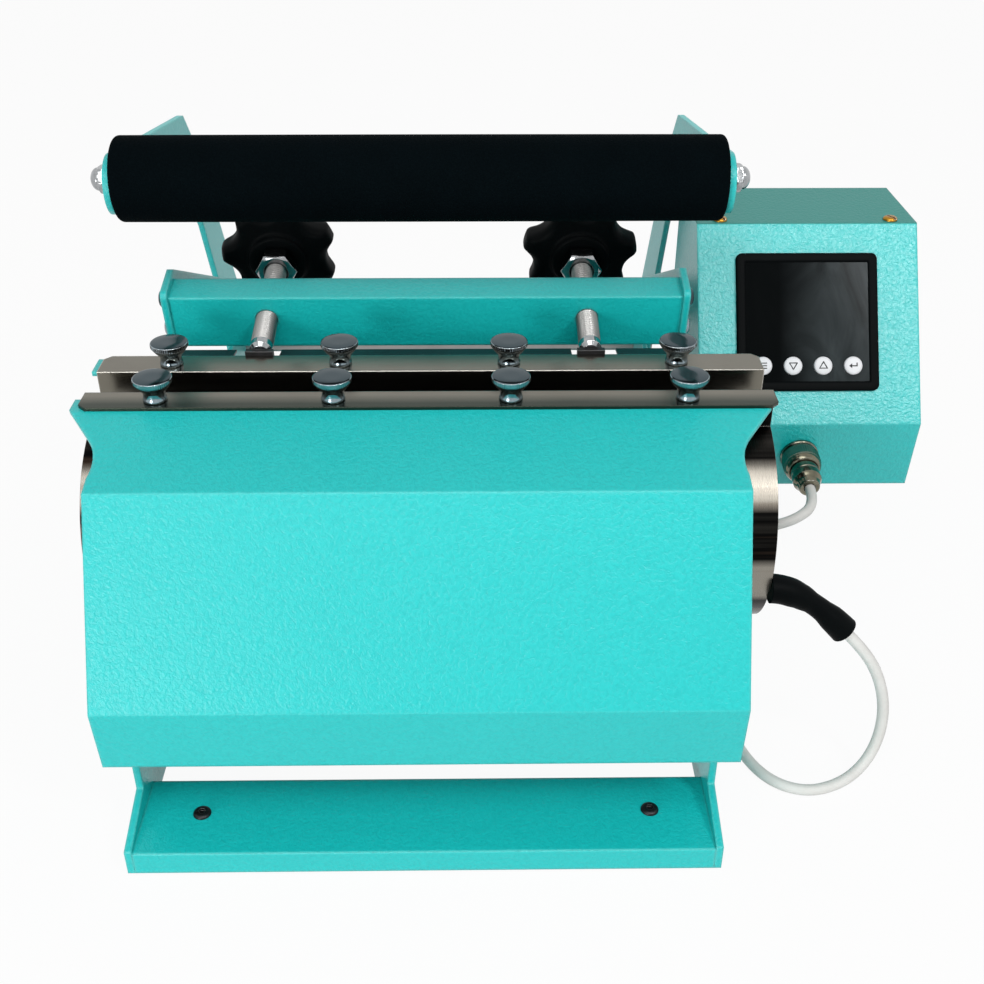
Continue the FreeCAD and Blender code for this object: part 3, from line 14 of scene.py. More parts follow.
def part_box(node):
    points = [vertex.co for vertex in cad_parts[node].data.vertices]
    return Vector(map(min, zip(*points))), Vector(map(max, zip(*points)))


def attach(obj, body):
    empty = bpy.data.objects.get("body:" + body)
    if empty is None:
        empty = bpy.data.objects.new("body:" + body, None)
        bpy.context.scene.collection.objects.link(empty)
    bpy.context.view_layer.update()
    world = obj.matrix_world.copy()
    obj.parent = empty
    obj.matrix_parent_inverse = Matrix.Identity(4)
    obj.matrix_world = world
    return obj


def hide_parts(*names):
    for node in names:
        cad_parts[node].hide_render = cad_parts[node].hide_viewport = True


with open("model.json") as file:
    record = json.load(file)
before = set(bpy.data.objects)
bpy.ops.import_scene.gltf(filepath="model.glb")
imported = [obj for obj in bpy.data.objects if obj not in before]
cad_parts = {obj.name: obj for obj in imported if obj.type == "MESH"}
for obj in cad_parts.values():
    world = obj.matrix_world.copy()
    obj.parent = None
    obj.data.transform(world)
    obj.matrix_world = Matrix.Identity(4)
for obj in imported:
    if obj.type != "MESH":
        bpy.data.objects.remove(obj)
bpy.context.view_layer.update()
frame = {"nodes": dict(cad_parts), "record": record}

MM = 0.001
# The bore's axis, in millimetres behind the front edge of the base and above the floor
BORE_BACK, BORE_HEIGHT = 112.75, 106.8
FLOOR_Z = -BORE_HEIGHT * MM


def spot(x, y, z):
    """A place given in millimetres from the floor and the front edge of the base."""
    return Vector((x, y - BORE_BACK, z - BORE_HEIGHT)) * MM


# Camera
def set_camera():
    """The photograph's viewpoint, as its straight edges give it."""
    sensor, photo_width, focal_length = 36, 984, 1245.3
    tilt, yaw, roll = radians(32.039), radians(0.859), radians(-0.15)
    ahead = Vector((sin(yaw) * cos(tilt), cos(yaw) * cos(tilt), -sin(tilt)))
    right = Vector((cos(yaw), -sin(yaw), 0))
    down = ahead.cross(right)
    across = cos(roll) * right + sin(roll) * down
    up = sin(roll) * right - cos(roll) * down
    lens = bpy.data.cameras.new("camera")
    lens.sensor_width = sensor
    lens.lens = focal_length / photo_width * sensor
    lens.clip_start = 0.01
    camera = bpy.data.objects.new("camera", lens)
    bpy.context.scene.collection.objects.link(camera)
    turn = Matrix((across, up, -ahead)).transposed().to_4x4()
    camera.matrix_world = Matrix.Translation(spot(21.7, -352.3, 405.2)) @ turn
    bpy.context.scene.camera = camera


set_camera()


# Finishes
class Wire:
    """A shader value. Reckoning with it adds Math nodes."""

    def __init__(self, finish, socket):
        self.finish = finish
        self.socket = socket

    def maths(self, operation, *terms):
        """One Math node."""
        return self.finish.node("ShaderNodeMath", {"operation": operation}, terms)

    def __add__(self, other):
        return self.maths("ADD", self, other)

    def __sub__(self, other):
        return self.maths("SUBTRACT", self, other)

    def __rsub__(self, other):
        return self.maths("SUBTRACT", other, self)

    def __mul__(self, other):
        return self.maths("MULTIPLY", self, other)

    def above(self, level):
        return self.maths("GREATER_THAN", self, level)

    def held(self):
        """The value kept between nought and one."""
        return self.finish.node("ShaderNodeClamp", {}, (self,))

    def rise(self, level, steepness):
        """Nought up to a level, then growing until it reaches one."""
        return ((self - level) * steepness).held()

    def fall(self, level, steepness):
        """Nought from a level on, and growing below it until it reaches one."""
        return ((level - self) * steepness).held()

    __radd__ = __add__
    __rmul__ = __mul__


class Nodes:
    """A node tree that is filled node by node."""

    def __init__(self, tree):
        self.tree = tree

    def node(self, kind, settings=None, sockets=(), out=0):
        """One node: its settings first, then the values or links of its sockets."""
        node = self.tree.nodes.new(kind)
        for key, value in (settings or {}).items():
            setattr(node, key, value)
        pairs = sockets.items() if isinstance(sockets, dict) else enumerate(sockets)
        for key, value in pairs:
            self.feed(node.inputs[key], value)
        return Wire(self, node.outputs[out])

    def feed(self, socket, value):
        """Link a socket, or set its value."""
        if isinstance(value, Wire):
            self.tree.links.new(value.socket, socket)
        else:
            socket.default_value = value

    def seen_by_eye(self):
        """One where the camera, a reflection or a see-through piece looks, and nought for light."""
        eye, gloss, through = [self.node("ShaderNodeLightPath", out=f"Is {kind} Ray")
                               for kind in ("Camera", "Glossy", "Transmission")]
        return eye.maths("MAXIMUM", eye, gloss.maths("MAXIMUM", gloss, through))


class Finish(Nodes):
    """One procedural material, with object coordinates at hand."""

    def __init__(self, name, **constants):
        self.material = bpy.data.materials.new(name)
        self.material.use_nodes = True
        super().__init__(self.material.node_tree)
        self.shader = next(n for n in self.tree.nodes if n.type == "BSDF_PRINCIPLED")
        for label, value in constants.items():
            self.shader.inputs[label.replace("_", " ")].default_value = value
        self.here = self.node("ShaderNodeTexCoord", out="Object")

    def give(self, **values):
        """Feed the main shader's sockets."""
        for label, value in values.items():
            self.feed(self.shader.inputs[label.replace("_", " ")], value)
        return self

    def along(self, axis):
        """The object coordinate on one axis."""
        return self.node("ShaderNodeSeparateXYZ", {}, (self.here,), out=axis)

    def stretched(self, across, deep, high):
        """Object coordinates scaled along each axis."""
        return self.node("ShaderNodeMapping", {}, {"Vector": self.here, "Scale": (across, deep, high)})

    def grain(self, scale, detail=2.0, rough=0.5, where=None, bend=0.0):
        """Soft noise. Bend makes it swirl."""
        sockets = {"Vector": where or self.here, "Scale": scale, "Detail": detail, "Roughness": rough,
                   "Distortion": bend}
        return self.node("ShaderNodeTexNoise", {}, sockets)

    def nudged(self, size):
        """Object coordinates nudged by noise, so that cells lose their even outlines."""
        sockets = {"Vector": self.here, "Scale": 700.0, "Detail": 2.0}
        nudge = self.node("ShaderNodeTexNoise", {}, sockets, out="Color")
        small = self.node("ShaderNodeVectorMath", {"operation": "SCALE"}, {"Vector": nudge, "Scale": size})
        return self.node("ShaderNodeVectorMath", {"operation": "ADD"}, (self.here, small))

    def cells(self, scale, feature="F1", where=None):
        """Packed cells: distance from each one's middle, or from its edge."""
        sockets = {"Vector": where or self.here, "Scale": scale}
        return self.node("ShaderNodeTexVoronoi", {"feature": feature}, sockets)

    def blend(self, first, second, share):
        """Mix two colours."""
        return self.node("ShaderNodeMix", {"data_type": "RGBA"}, {0: share, 6: first, 7: second}, out=2)

    def soft_edges(self, radius):
        """Normals rounded over the sharp edges, and how near an edge each point is."""
        rounded = self.node("ShaderNodeBevel", {"samples": 6}, {"Radius": radius})
        flat = self.node("ShaderNodeNewGeometry", out="Normal")
        match = self.node("ShaderNodeVectorMath", {"operation": "DOT_PRODUCT"}, (rounded, flat),
                          out="Value")
        return rounded, ((1 - match) * 9).held()

    def relief(self, height, depth, under=None):
        """A bump of a height, over the plain surface or over other normals."""
        sockets = {"Height": height, "Distance": depth}
        if under:
            sockets["Normal"] = under
        return self.node("ShaderNodeBump", {}, sockets)


def linear(red, green, blue):
    """A colour given in screen values from 0 to 255."""
    screen = [value / 255 for value in (red, green, blue)]
    shades = [v / 12.92 if v <= 0.04045 else ((v + 0.055) / 1.055) ** 2.4 for v in screen]
    return (*shades, 1)


def powder_coat(name, grain_scale, depth, gloss, shine, top=None):
    """Teal textured powder coat: orange-peel relief with painted shade in its hollows, satin gloss,
    lighter where edges have rubbed.

    Where a top height is given, the coat above it is darker and duller: painted shade on the top faces.
    """
    coat = Finish(name, Specular_IOR_Level=shine)
    rounded, edge = coat.soft_edges(0.0018)
    drift = coat.grain(7, 3, 0.6)
    peel = coat.grain(grain_scale, 2.0, 0.5, bend=0.6)
    speck = coat.grain(grain_scale * 2.6, 1.5, 0.5)
    base = coat.blend(linear(20, 188, 187), linear(27, 195, 193), drift)
    # painted shade: a darker teal where the orange peel's relief is low
    peel_hollow_shade = coat.blend(linear(16, 183, 182), base, peel.rise(0.3, 3.2))
    rubbing = edge * 0.5 * (0.5 + coat.grain(140, 3, 0.6))
    worn = coat.blend(peel_hollow_shade, linear(104, 222, 217), rubbing)
    skin = coat.relief(peel * 0.85 + speck * 0.15, depth, under=rounded)
    rough = gloss + speck * 0.1 + drift * 0.06
    if top:
        # painted shade: a darker, duller teal on the faces above the top height
        lid = coat.along("Z").rise(top, 3000)
        worn = coat.blend(worn, linear(0, 122, 112), lid * 0.9)
        rough = rough + lid * 0.2
    coat.give(Base_Color=worn, Roughness=rough, Normal=skin)
    return coat


def polished_steel(name, rim, near=None):
    """Dark mirror-polished bar with drawn streaks.

    Rim is the tone of a painted reflection along its edges, and near that of a painted dark reflection
    over its front part.
    """
    bar = Finish(name, Metallic=1.0)
    rounded, edge = bar.soft_edges(0.0006)
    streak = bar.grain(1, 3, 0.6, where=bar.stretched(7, 1500, 1500))
    cloud = bar.grain(28, 4, 0.6)
    tone = bar.blend(linear(104, 100, 91), linear(128, 125, 115), cloud)
    # painted dark reflection: full over the bar's front part, fading out towards Y of -12.5 mm
    if near:
        front_edge = -0.0125
        front = (front_edge - bar.along("Y")) * 140 + (cloud - 0.5) * 0.5
        tone = bar.blend(tone, near, front.held())
    # painted reflection along the edges, in the rim's tone
    bar.give(Base_Color=bar.blend(tone, rim, edge * 0.85),
             Roughness=0.13 + streak * 0.11 + cloud * 0.05,
             Normal=bar.relief(streak, 0.00001, under=rounded))
    return bar


def brushed_band():
    """Spring steel wrapped round the element, brushed along its width, with painted reflections: dark by
    height except in two narrow bands, deepened and tinted brown in broad stripes.
    """
    band = Finish("spring_band", Metallic=1.0)
    rounded, edge = band.soft_edges(0.0003)
    brush = band.grain(1, 4, 0.65, where=band.stretched(2600, 30, 30))
    stripe = band.grain(1, 3, 0.6, where=band.stretched(2, 120, 120))
    # painted reflection: near black from the axis up to 27 mm, above 36 mm and below -16 mm, light only in
    # the two narrow bands between
    height, fading = band.along("Z"), 250
    middle = (height * fading).held() * height.fall(0.027, fading)
    ends = height.rise(0.036, fading) + height.fall(-0.016, fading)
    dark = (middle + ends + (stripe - 0.5) * 0.5).held()
    tone = band.blend(linear(142, 137, 128), linear(12, 12, 12), dark)
    # painted reflection: a brown tint in the broad stripes
    striped_reflection_tone = band.blend(tone, linear(96, 78, 64), stripe.rise(0.52, 5) * 0.5)
    band.give(Base_Color=band.blend(striped_reflection_tone, linear(190, 186, 178), edge * 0.4),
              Roughness=0.2 + brush * 0.14,
              Normal=band.relief(brush, 0.00001, under=rounded))
    return band


def woven_silicone():
    """Silicone sheet over glass cloth: dark, matt, with the cloth's weave showing through."""
    mat = Finish("heating_mat", Specular_IOR_Level=0.35)
    threads = {"Vector": mat.here, "Scale": 260, "Distortion": 0.6, "Detail": 1.0}
    weft, warp = [mat.node("ShaderNodeTexWave", {"bands_direction": way}, threads) for way in "XZ"]
    dust = mat.grain(60, 5, 0.65)
    tone = mat.blend((0.011, 0.011, 0.012, 1), (0.034, 0.032, 0.031, 1), dust * 0.7 + weft * warp * 0.2)
    mat.give(Base_Color=tone, Roughness=0.6 + dust * 0.25, Normal=mat.relief(weft * warp, 0.00008))
    return mat


def plated(name, light, dark, gloss, grain_scale, top=None):
    """Bright plated metal: cloudy plating, faint handling marks and brighter corners.

    Where a top height is given, the face at that height is darker: a painted dark reflection.
    """
    metal = Finish(name, Metallic=1.0)
    rounded, edge = metal.soft_edges(0.0003)
    cloud = metal.grain(grain_scale, 4, 0.6)
    haze = metal.grain(grain_scale * 5, 2, 0.5)
    tone = metal.blend(dark, light, cloud)
    if top:
        # painted dark reflection on the top faces
        face = ((metal.along("Z") - top + 0.00022) * 9000).held()
        tone = metal.blend(tone, linear(58, 72, 78), face)
    bright = metal.blend(tone, (0.86, 0.86, 0.86, 1), edge * 0.6)
    metal.give(Base_Color=bright, Roughness=gloss + haze * 0.09 + cloud * 0.05,
               Normal=metal.relief(haze, 0.000006, under=rounded))
    return metal


def turned_steel():
    """Plain turned steel with tool marks round the shaft and a little oil staining."""
    steel = Finish("plain_steel", Metallic=1.0)
    rounded, edge = steel.soft_edges(0.0003)
    marks = steel.grain(1, 3, 0.6, where=steel.stretched(3200, 40, 40))
    stain = steel.grain(45, 4, 0.6)
    tone = steel.blend(linear(120, 118, 116), linear(176, 175, 173), stain * 0.7 + marks * 0.3)
    steel.give(Base_Color=steel.blend(tone, linear(215, 215, 214), edge * 0.6),
               Roughness=0.26 + marks * 0.16,
               Normal=steel.relief(marks, 0.000015, under=rounded))
    return steel


def blackened_steel():
    """Black-oxide steel, patchy and rubbed bright at its edges."""
    metal = Finish("black_oxide", Metallic=0.85)
    rounded, edge = metal.soft_edges(0.0003)
    patch = metal.grain(420, 4, 0.6)
    tone = metal.blend(linear(28, 29, 31), linear(58, 58, 60), patch)
    metal.give(Base_Color=metal.blend(tone, linear(150, 150, 150), edge * 0.5),
               Roughness=0.32 + patch * 0.2,
               Normal=metal.relief(patch, 0.00001, under=rounded))
    return metal


def cell_foam():
    """Closed-cell foam rubber: skin dimpled by its cells, quite matt."""
    foam = Finish("foam", Specular_IOR_Level=0.02)
    cell = foam.cells(1150, where=foam.nudged(0.0006))
    fine = foam.grain(2600, 3, 0.6)
    soft = foam.grain(38, 3, 0.6)
    tone = foam.blend((0.0004, 0.0010, 0.0014, 1), (0.0016, 0.0040, 0.0052, 1),
                      soft * 0.6 + cell * 0.4)
    foam.give(Base_Color=tone, Roughness=0.82 + fine * 0.15,
              Normal=foam.relief(cell * 0.8 + fine * 0.2, 0.00022))
    return foam


def moulded(name, tone, lighter, gloss, grain_scale=900, depth=0.00004, sheen=0.5):
    """Moulded plastic or rubber with a fine tooled grain and rubbed edges."""
    plastic = Finish(name, Specular_IOR_Level=sheen)
    rounded, edge = plastic.soft_edges(0.0005)
    pores = plastic.grain(grain_scale, 2, 0.5)
    scuff = plastic.grain(70, 5, 0.65)
    shade = plastic.blend(tone, lighter, scuff)
    rubbed = plastic.blend(shade, lighter, edge * 0.5)
    plastic.give(Base_Color=rubbed, Roughness=gloss + scuff * 0.12 + pores * 0.05,
                 Normal=plastic.relief(pores, depth, under=rounded))
    return plastic


def display_glass():
    """Clear glossy acrylic over a black mask, with faint wiping marks in its gloss and a painted
    reflection over its right part.
    """
    glass = Finish("gloss_black", Specular_IOR_Level=0.03)
    rounded = glass.soft_edges(0.0004)[0]
    wipe_and_reflection = glass.grain(1, 4, 0.6, where=glass.stretched(44, 22, 22), bend=0.8)
    # painted reflection: a pale smear over the right part of the glass, shaped by the wiping noise
    haze = glass.along("X").rise(0.172, 34) * wipe_and_reflection.rise(0.2, 1.9)
    tone = glass.blend(linear(3, 6, 7), linear(66, 73, 75), haze)
    glass.give(Base_Color=tone, Roughness=0.07 + wipe_and_reflection * 0.1, Normal=rounded)
    return glass


def circuit_mask():
    """Solder mask over copper tracks."""
    board = Finish("board_green", Coat_Weight=0.3)
    tracks = board.cells(420, "DISTANCE_TO_EDGE")
    line = (0.12 - tracks).above(0)
    tone = board.blend((0.012, 0.10, 0.045, 1), (0.03, 0.19, 0.08, 1), line)
    board.give(Base_Color=tone, Roughness=0.35 + board.grain(200) * 0.2,
               Normal=board.relief(line, 0.00003))
    return board


def silicone_sheath():
    """Off-white silicone sleeving with a faint braid under its skin and handling grime."""
    sheath = Finish("white_lead", Specular_IOR_Level=0.4)
    braid = sheath.grain(1800, 1, 0.5)
    grime = sheath.grain(36, 5, 0.65)
    tone = sheath.blend(linear(196, 195, 190), linear(226, 226, 223), (grime * 1.6 - 0.3).held())
    sheath.give(Base_Color=tone, Roughness=0.42 + grime * 0.15,
                Normal=sheath.relief(braid, 0.00003))
    return sheath


BOX_TOP = 0.0832
THUMB_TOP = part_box("front_thumb_screws")[1].z

TEAL = powder_coat("teal_paint", 640, 0.00036, 0.28, 0.5)
# The box's coat is darker on its lid above BOX_TOP: painted shade.
BOX_TEAL = powder_coat("teal_paint_box", 560, 0.00046, 0.22, 0.7, BOX_TOP)
# The rim tones are painted reflections: bright on the rear bar's edges, dark on the front bar's, whose
# front part also has a painted dark reflection.
BAR = polished_steel("polished_bar", linear(226, 222, 214))
FRONT_BAR = polished_steel("polished_bar_front_reflection", linear(58, 60, 54), linear(56, 62, 54))
BAND = brushed_band()
MAT = woven_silicone()
# The thumb screws' top faces get the painted dark reflection.
ZINC = plated("zinc_plate", linear(158, 172, 178), linear(110, 124, 132), 0.05, 900, THUMB_TOP)
CHROME = plated("chrome_nut", linear(196, 198, 200), linear(110, 114, 116), 0.05, 320)
STEEL = turned_steel()
BLACKENED = blackened_steel()
FOAM = cell_foam()
FOOT_RUBBER = moulded("foot_rubber", linear(18, 18, 18), linear(40, 39, 38), 0.75, sheen=0.2)
PLASTIC = moulded("black_plastic", linear(2, 4, 5), linear(6, 9, 10), 0.42, sheen=0.04)
GLASS = display_glass()
KEY_WHITE = moulded("white_key", linear(212, 214, 218), linear(236, 237, 239), 0.28, 1500, 0.00001)
BOARD = circuit_mask()
BRASS = plated("yellow_brass", linear(196, 146, 56), linear(120, 84, 28), 0.22, 1400)
NICKEL = plated("nickel", linear(140, 134, 116), linear(66, 70, 58), 0.08, 320)
SHEATH = silicone_sheath()
MARK = moulded("dark_mark", linear(22, 24, 26), linear(40, 42, 44), 0.5)

SLOT_FINISH = {
    "teal_paint": TEAL, "polished_bar": BAR, "spring_band": BAND, "heating_mat": MAT, "zinc_plate": ZINC,
    "chrome_nut": CHROME, "plain_steel": STEEL, "black_oxide": BLACKENED, "foam": FOAM,
    "foot_rubber": FOOT_RUBBER, "black_plastic": PLASTIC, "gloss_black": GLASS, "white_key": KEY_WHITE,
    "board_green": BOARD, "yellow_brass": BRASS, "nickel": NICKEL, "white_lead": SHEATH,
}
# The link shaft's black oxide is painted shade, darkening the gap under the beam.
OWN_FINISH = {"control_box_case": BOX_TEAL, "control_box_back": BOX_TEAL, "front_clamp_bar": FRONT_BAR,
              "link_shaft": BLACKENED, "pressure_blocks": BLACKENED}
NODE_SLOT = {part["node"]: part["material_slot"] for part in frame["record"]["subparts"]}


def finish_nodes():
    """Give every node of the frame the finish that its slot names."""
    for name, node in frame["nodes"].items():
        finish = OWN_FINISH.get(name) or SLOT_FINISH[NODE_SLOT[name]]
        for place in node.material_slots:
            place.material = finish.material


finish_nodes()


# Mesh making
class Blank:
    """Points and faces of one piece, gathered before it becomes an object."""

    def __init__(self):
        self.points = []
        self.faces = []

    def add(self, points, faces):
        """Add points, and faces numbered from the first of them."""
        start = len(self.points)
        self.points.extend(points)
        self.faces.extend([tuple(start + i for i in face) for face in faces])

    def rings(self, rings, caps=(True, True), looped=False):
        """Skin over a row of closed rings with the same number of points."""
        count = len(rings[0])
        faces = []
        rows = len(rings)
        for row in range(rows if looped else rows - 1):
            low, high = row * count, (row + 1) % rows * count
            for i in range(count):
                j = (i + 1) % count
                faces.append((low + i, low + j, high + j, high + i))
        if caps[0] and not looped:
            faces.append(tuple(reversed(range(count))))
        if caps[1] and not looped:
            faces.append(tuple((rows - 1) * count + i for i in range(count)))
        self.add([point for ring in rings for point in ring], faces)

    def plain(self, name):
        """An object with this mesh, with no finish and on no body yet."""
        mesh = bpy.data.meshes.new(name)
        mesh.from_pydata(self.points, [], self.faces)
        mesh.update()
        item = bpy.data.objects.new(name, mesh)
        bpy.context.scene.collection.objects.link(item)
        return item

    def make(self, name, finish, body, slot, replaced=(), crease=35):
        """A finished piece that rides on a body."""
        return settle(self.plain(name), finish, body, replaced, crease)


def settle(piece, finish, body, replaced, crease=35):
    """Smooth a piece, finish it, and let it ride on its body."""
    if piece.type == "MESH":
        piece.data.shade_smooth()
        piece.data.set_sharp_from_angle(angle=radians(crease))
    piece.data.materials.clear()
    piece.data.materials.append(finish.material)
    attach(piece, body)
    if replaced:
        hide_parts(*replaced)
    return piece


def stand(origin, axis, across=(1, 0, 0)):
    """A frame whose Z runs along an axis and whose X leans towards another direction."""
    up = Vector(axis).normalized()
    side = Vector(across) - up * Vector(across).dot(up)
    side.normalize()
    turn = Matrix((side, up.cross(side), up)).transposed().to_4x4()
    return Matrix.Translation(Vector(origin)) @ turn


def around(steps):
    """Evenly spaced angles of one turn."""
    return [2 * pi * i / steps for i in range(steps)]


def set_at(place, x, y, z):
    """A point in a frame, given in millimetres."""
    return place @ (Vector((x, y, z)) * MM)


def swung(place, reach, angle, height):
    """A point in a frame by its distance from the axis, its angle and its height."""
    return set_at(place, reach * cos(angle), reach * sin(angle), height)


def turn_rings(place, profile, steps, radius_at=None):
    """Rings of a turned shape.

    A profile has (radius, height) in millimetres. A function radius_at may change the radius by
    angle and row.
    """
    rings = []
    for row, (radius, height) in enumerate(profile):
        ring = []
        for angle in around(steps):
            reach = radius_at(radius, angle, row) if radius_at else radius
            ring.append(swung(place, reach, angle, height))
        rings.append(ring)
    return rings


def flat_rings(place, corners, levels):
    """Rings with the same corners at several heights of a frame."""
    return [[set_at(place, x, y, level) for x, y in corners] for level in levels]


HEXAGON_STEPS = 72


def hexagon_reach(flats, angle):
    """Distance in millimetres from the axis to a hexagon's side at an angle."""
    return flats / 2 / cos((angle + pi / 6) % (pi / 3) - pi / 6)


def hexagon_ring(place, flats, limit, height):
    """One ring of a hexagon that is clipped to a given radius."""
    return [swung(place, min(hexagon_reach(flats, angle), limit), angle, height)
            for angle in around(HEXAGON_STEPS)]


def carve(piece, cutter):
    """Cut one mesh out of another and keep the result as the first one's mesh."""
    change = piece.modifiers.new("cut", "BOOLEAN")
    change.operation = "DIFFERENCE"
    change.solver = "EXACT"
    change.object = cutter
    bpy.context.view_layer.update()
    seen = piece.evaluated_get(bpy.context.evaluated_depsgraph_get())
    fresh = bpy.data.meshes.new_from_object(seen)
    piece.modifiers.clear()
    old = piece.data
    piece.data = fresh
    bpy.data.meshes.remove(old)
    bpy.data.objects.remove(cutter)


# The heating element's lead and its boot. Both routes are from the floor and the base's front edge.
LEAD_ROUTE = [
    (177.9, 63.9, 74.4), (188.5, 62.5, 64), (197, 61.5, 49), (201.5, 60.5, 32), (200.5, 58, 16),
    (194, 53, 5.5), (182, 45, 2.6), (166.5, 40.5, 2.6), (152.5, 46.5, 2.6), (143.5, 61, 2.6),
    (139, 82, 2.6), (138.5, 106, 2.6), (140, 127, 4.5), (143, 145, 14), (145.5, 153, 31),
    (147.5, 153, 50), (152.5, 148, 66), (161.5, 141, 76), (174, 140, 81), (184, 148.1, 84.2),
    (184, 160.0, 85.71),
]
LEAD_RADIUS = 0.0025
BOOT_ROUTE = [(144.4, 66.85, 94.5), (158.4, 66.85, 94.5), LEAD_ROUTE[0]]
# Share of the boot's length, and its radius there
BOOT_WAIST = [(0.0, 6.3), (0.22, 6.2), (0.38, 5.5), (0.5, 4.7), (0.62, 4.8), (0.84, 5.9), (1.0, 6.15)]


def route_line(name, route, radius=0.0):
    """A smooth curve that a route's points pull along."""
    curve = bpy.data.curves.new(name, "CURVE")
    curve.dimensions = "3D"
    line = curve.splines.new("NURBS")
    line.points.add(len(route) - 1)
    for point, place in zip(line.points, route):
        point.co = (*spot(*place), 1)
    line.order_u = 3
    line.use_endpoint_u = True
    line.resolution_u = 10
    curve.bevel_depth = radius
    curve.bevel_resolution = 7
    curve.use_fill_caps = True
    item = bpy.data.objects.new(name, curve)
    bpy.context.scene.collection.objects.link(item)
    return item


def line_points(item):
    """Points read from a bare curve's own line."""
    bpy.context.view_layer.update()
    seen = item.evaluated_get(bpy.context.evaluated_depsgraph_get())
    mesh = bpy.data.meshes.new_from_object(seen)
    points = [vertex.co.copy() for vertex in mesh.vertices]
    bpy.data.meshes.remove(mesh)
    return points


def boot_reach(share):
    """Radius of the boot along its length: fuller at the band, waisted past its bend, then flared."""
    for (a, low), (b, high) in zip(BOOT_WAIST, BOOT_WAIST[1:]):
        if share <= b:
            blend = (share - a) / (b - a)
            return low + (high - low) * blend * blend * (3 - 2 * blend)
    return BOOT_WAIST[-1][1]


def lead():
    """The sleeved lead, from the boot's mouth round over the table and up to the plug."""
    line = route_line("lead", LEAD_ROUTE, LEAD_RADIUS)
    settle(line, SHEATH, "frame", ["element_lead"])


def boot():
    """The rubbery boot that carries the lead off the band, with a hollow mouth."""
    bare = route_line("boot_line", BOOT_ROUTE)
    points = line_points(bare)
    bpy.data.objects.remove(bare)
    rings = []
    total = sum((b - a).length for a, b in zip(points, points[1:]))
    done = 0.0
    side = Vector((0, 1, 0))
    for i, point in enumerate(points):
        ahead = points[min(i + 1, len(points) - 1)] - points[max(i - 1, 0)]
        ahead.normalize()
        side = (side - ahead * side.dot(ahead)).normalized()
        up = ahead.cross(side)
        reach = boot_reach(done / total) * MM
        rings.append([point + side * reach * cos(a) + up * reach * sin(a) for a in around(28)])
        if i + 1 < len(points):
            done += (points[i + 1] - point).length
    centre, last = points[-1], rings[-1]
    back = (points[-2] - centre).normalized()
    for size, depth in ((0.95, 0.0), (0.6, 0.0001), (0.46, 0.0012)):
        rings.append([centre + (p - centre) * size + back * depth for p in last])
    blank = Blank()
    blank.rings(rings)
    blank.make("lead_boot_sleeve", PLASTIC, "frame", "black_plastic", ["lead_boot"])


lead()
boot()


# Handle
GRIP_LOW, GRIP_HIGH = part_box("foam_grip")
GRIP = (GRIP_LOW + GRIP_HIGH) / 2
GRIP_HALF = (GRIP_HIGH.x - GRIP_LOW.x) / 2 / MM
ARM_FACE = 127.5  # the lever arms' outer faces, from the middle


def handle_foam():
    """The padded sleeve: rounded ends, a little fuller in the middle."""
    tube, skin, swell, corner = 9.1, 17.3, 0.12, 2.0
    foot = -GRIP_HALF
    profile = [(tube, foot + 1.0), (tube + 0.5, foot + 0.2), (11.5, foot)]
    for step in range(10):
        angle = pi / 2 * step / 9
        profile.append((skin - corner + corner * sin(angle), foot + corner - corner * cos(angle)))
    end = len(profile)
    rows = 26
    for step in range(1, rows):
        share = -1 + 2 * step / rows
        profile.append((skin + swell * (1 - share * share), (GRIP_HALF - corner) * share))
    profile += [(radius, -height) for radius, height in reversed(profile[:end])]
    bore = [(tube, GRIP_HALF - 1.0), (tube, foot + 1.0)]
    place = stand(GRIP, (1, 0, 0), (0, 1, 0))
    blank = Blank()
    for shape in (profile, bore):
        blank.rings(turn_rings(place, shape, 72), (False, False))
    foam = blank.make("foam_sleeve", FOAM, "lever", "foam", ["foam_grip"], 60)


def acorn_nuts():
    """Dome nuts and washers on the handle rod's ends."""
    flats, dome_radius, dome_height = 10.4, 4.75, 3.25
    washer = [(3.1, 0.02), (6.0, 0.02), (6.3, 0.3), (6.3, 0.8), (6.0, 1.0), (3.1, 1.0)]
    # radius to which the hexagon is clipped, and height
    body = [(3.1, 1.02), (5.1, 1.02), (5.35, 1.15), (5.85, 1.4), (6.35, 1.65), (6.1, 2.0), (6.1, 3.4),
            (5.7, 3.8), (5.25, 4.1), (4.95, 4.2)]
    dome = [(dome_radius, 4.35)]
    for degrees in (0, 14, 28, 42, 56, 68, 79, 87):
        angle = radians(degrees)
        dome.append((dome_radius * cos(angle), 4.5 + dome_height * sin(angle)))
    blank = Blank()
    for sign in (-1, 1):
        foot = Vector((sign * ARM_FACE * MM, GRIP.y, GRIP.z))
        place = stand(foot, (sign, 0, 0), (0, 0, 1))
        blank.rings(turn_rings(place, washer, 40), looped=True)
        rings = [hexagon_ring(place, flats, limit, height) for limit, height in body]
        rings += turn_rings(place, dome, HEXAGON_STEPS)
        blank.rings(rings, (False, True))
    blank.make("acorn_nut_pair", CHROME, "lever", "chrome_nut", ["acorn_nuts"], 28)


handle_foam()
acorn_nuts()


# Pressure screws
ROD_SLOPE = radians(12)
ROD_AIM = Vector((0, cos(ROD_SLOPE), sin(ROD_SLOPE)))
# Distances along a screw from its foot: the solid rod's middle, and the seats of nut and knob
ROD_MIDDLE, NUT_SEAT, KNOB_SEAT = 44, 61, 69
# The thread's pitch and its two ends along a screw, skinned with eight rings a turn
PITCH, THREAD_START, THREAD_STOP = 1.5, 5.03, 83.0
THREAD_ROWS = int((THREAD_STOP - THREAD_START) / PITCH * 8)
KNOB_TURN = {"left": radians(15), "right": radians(-23)}


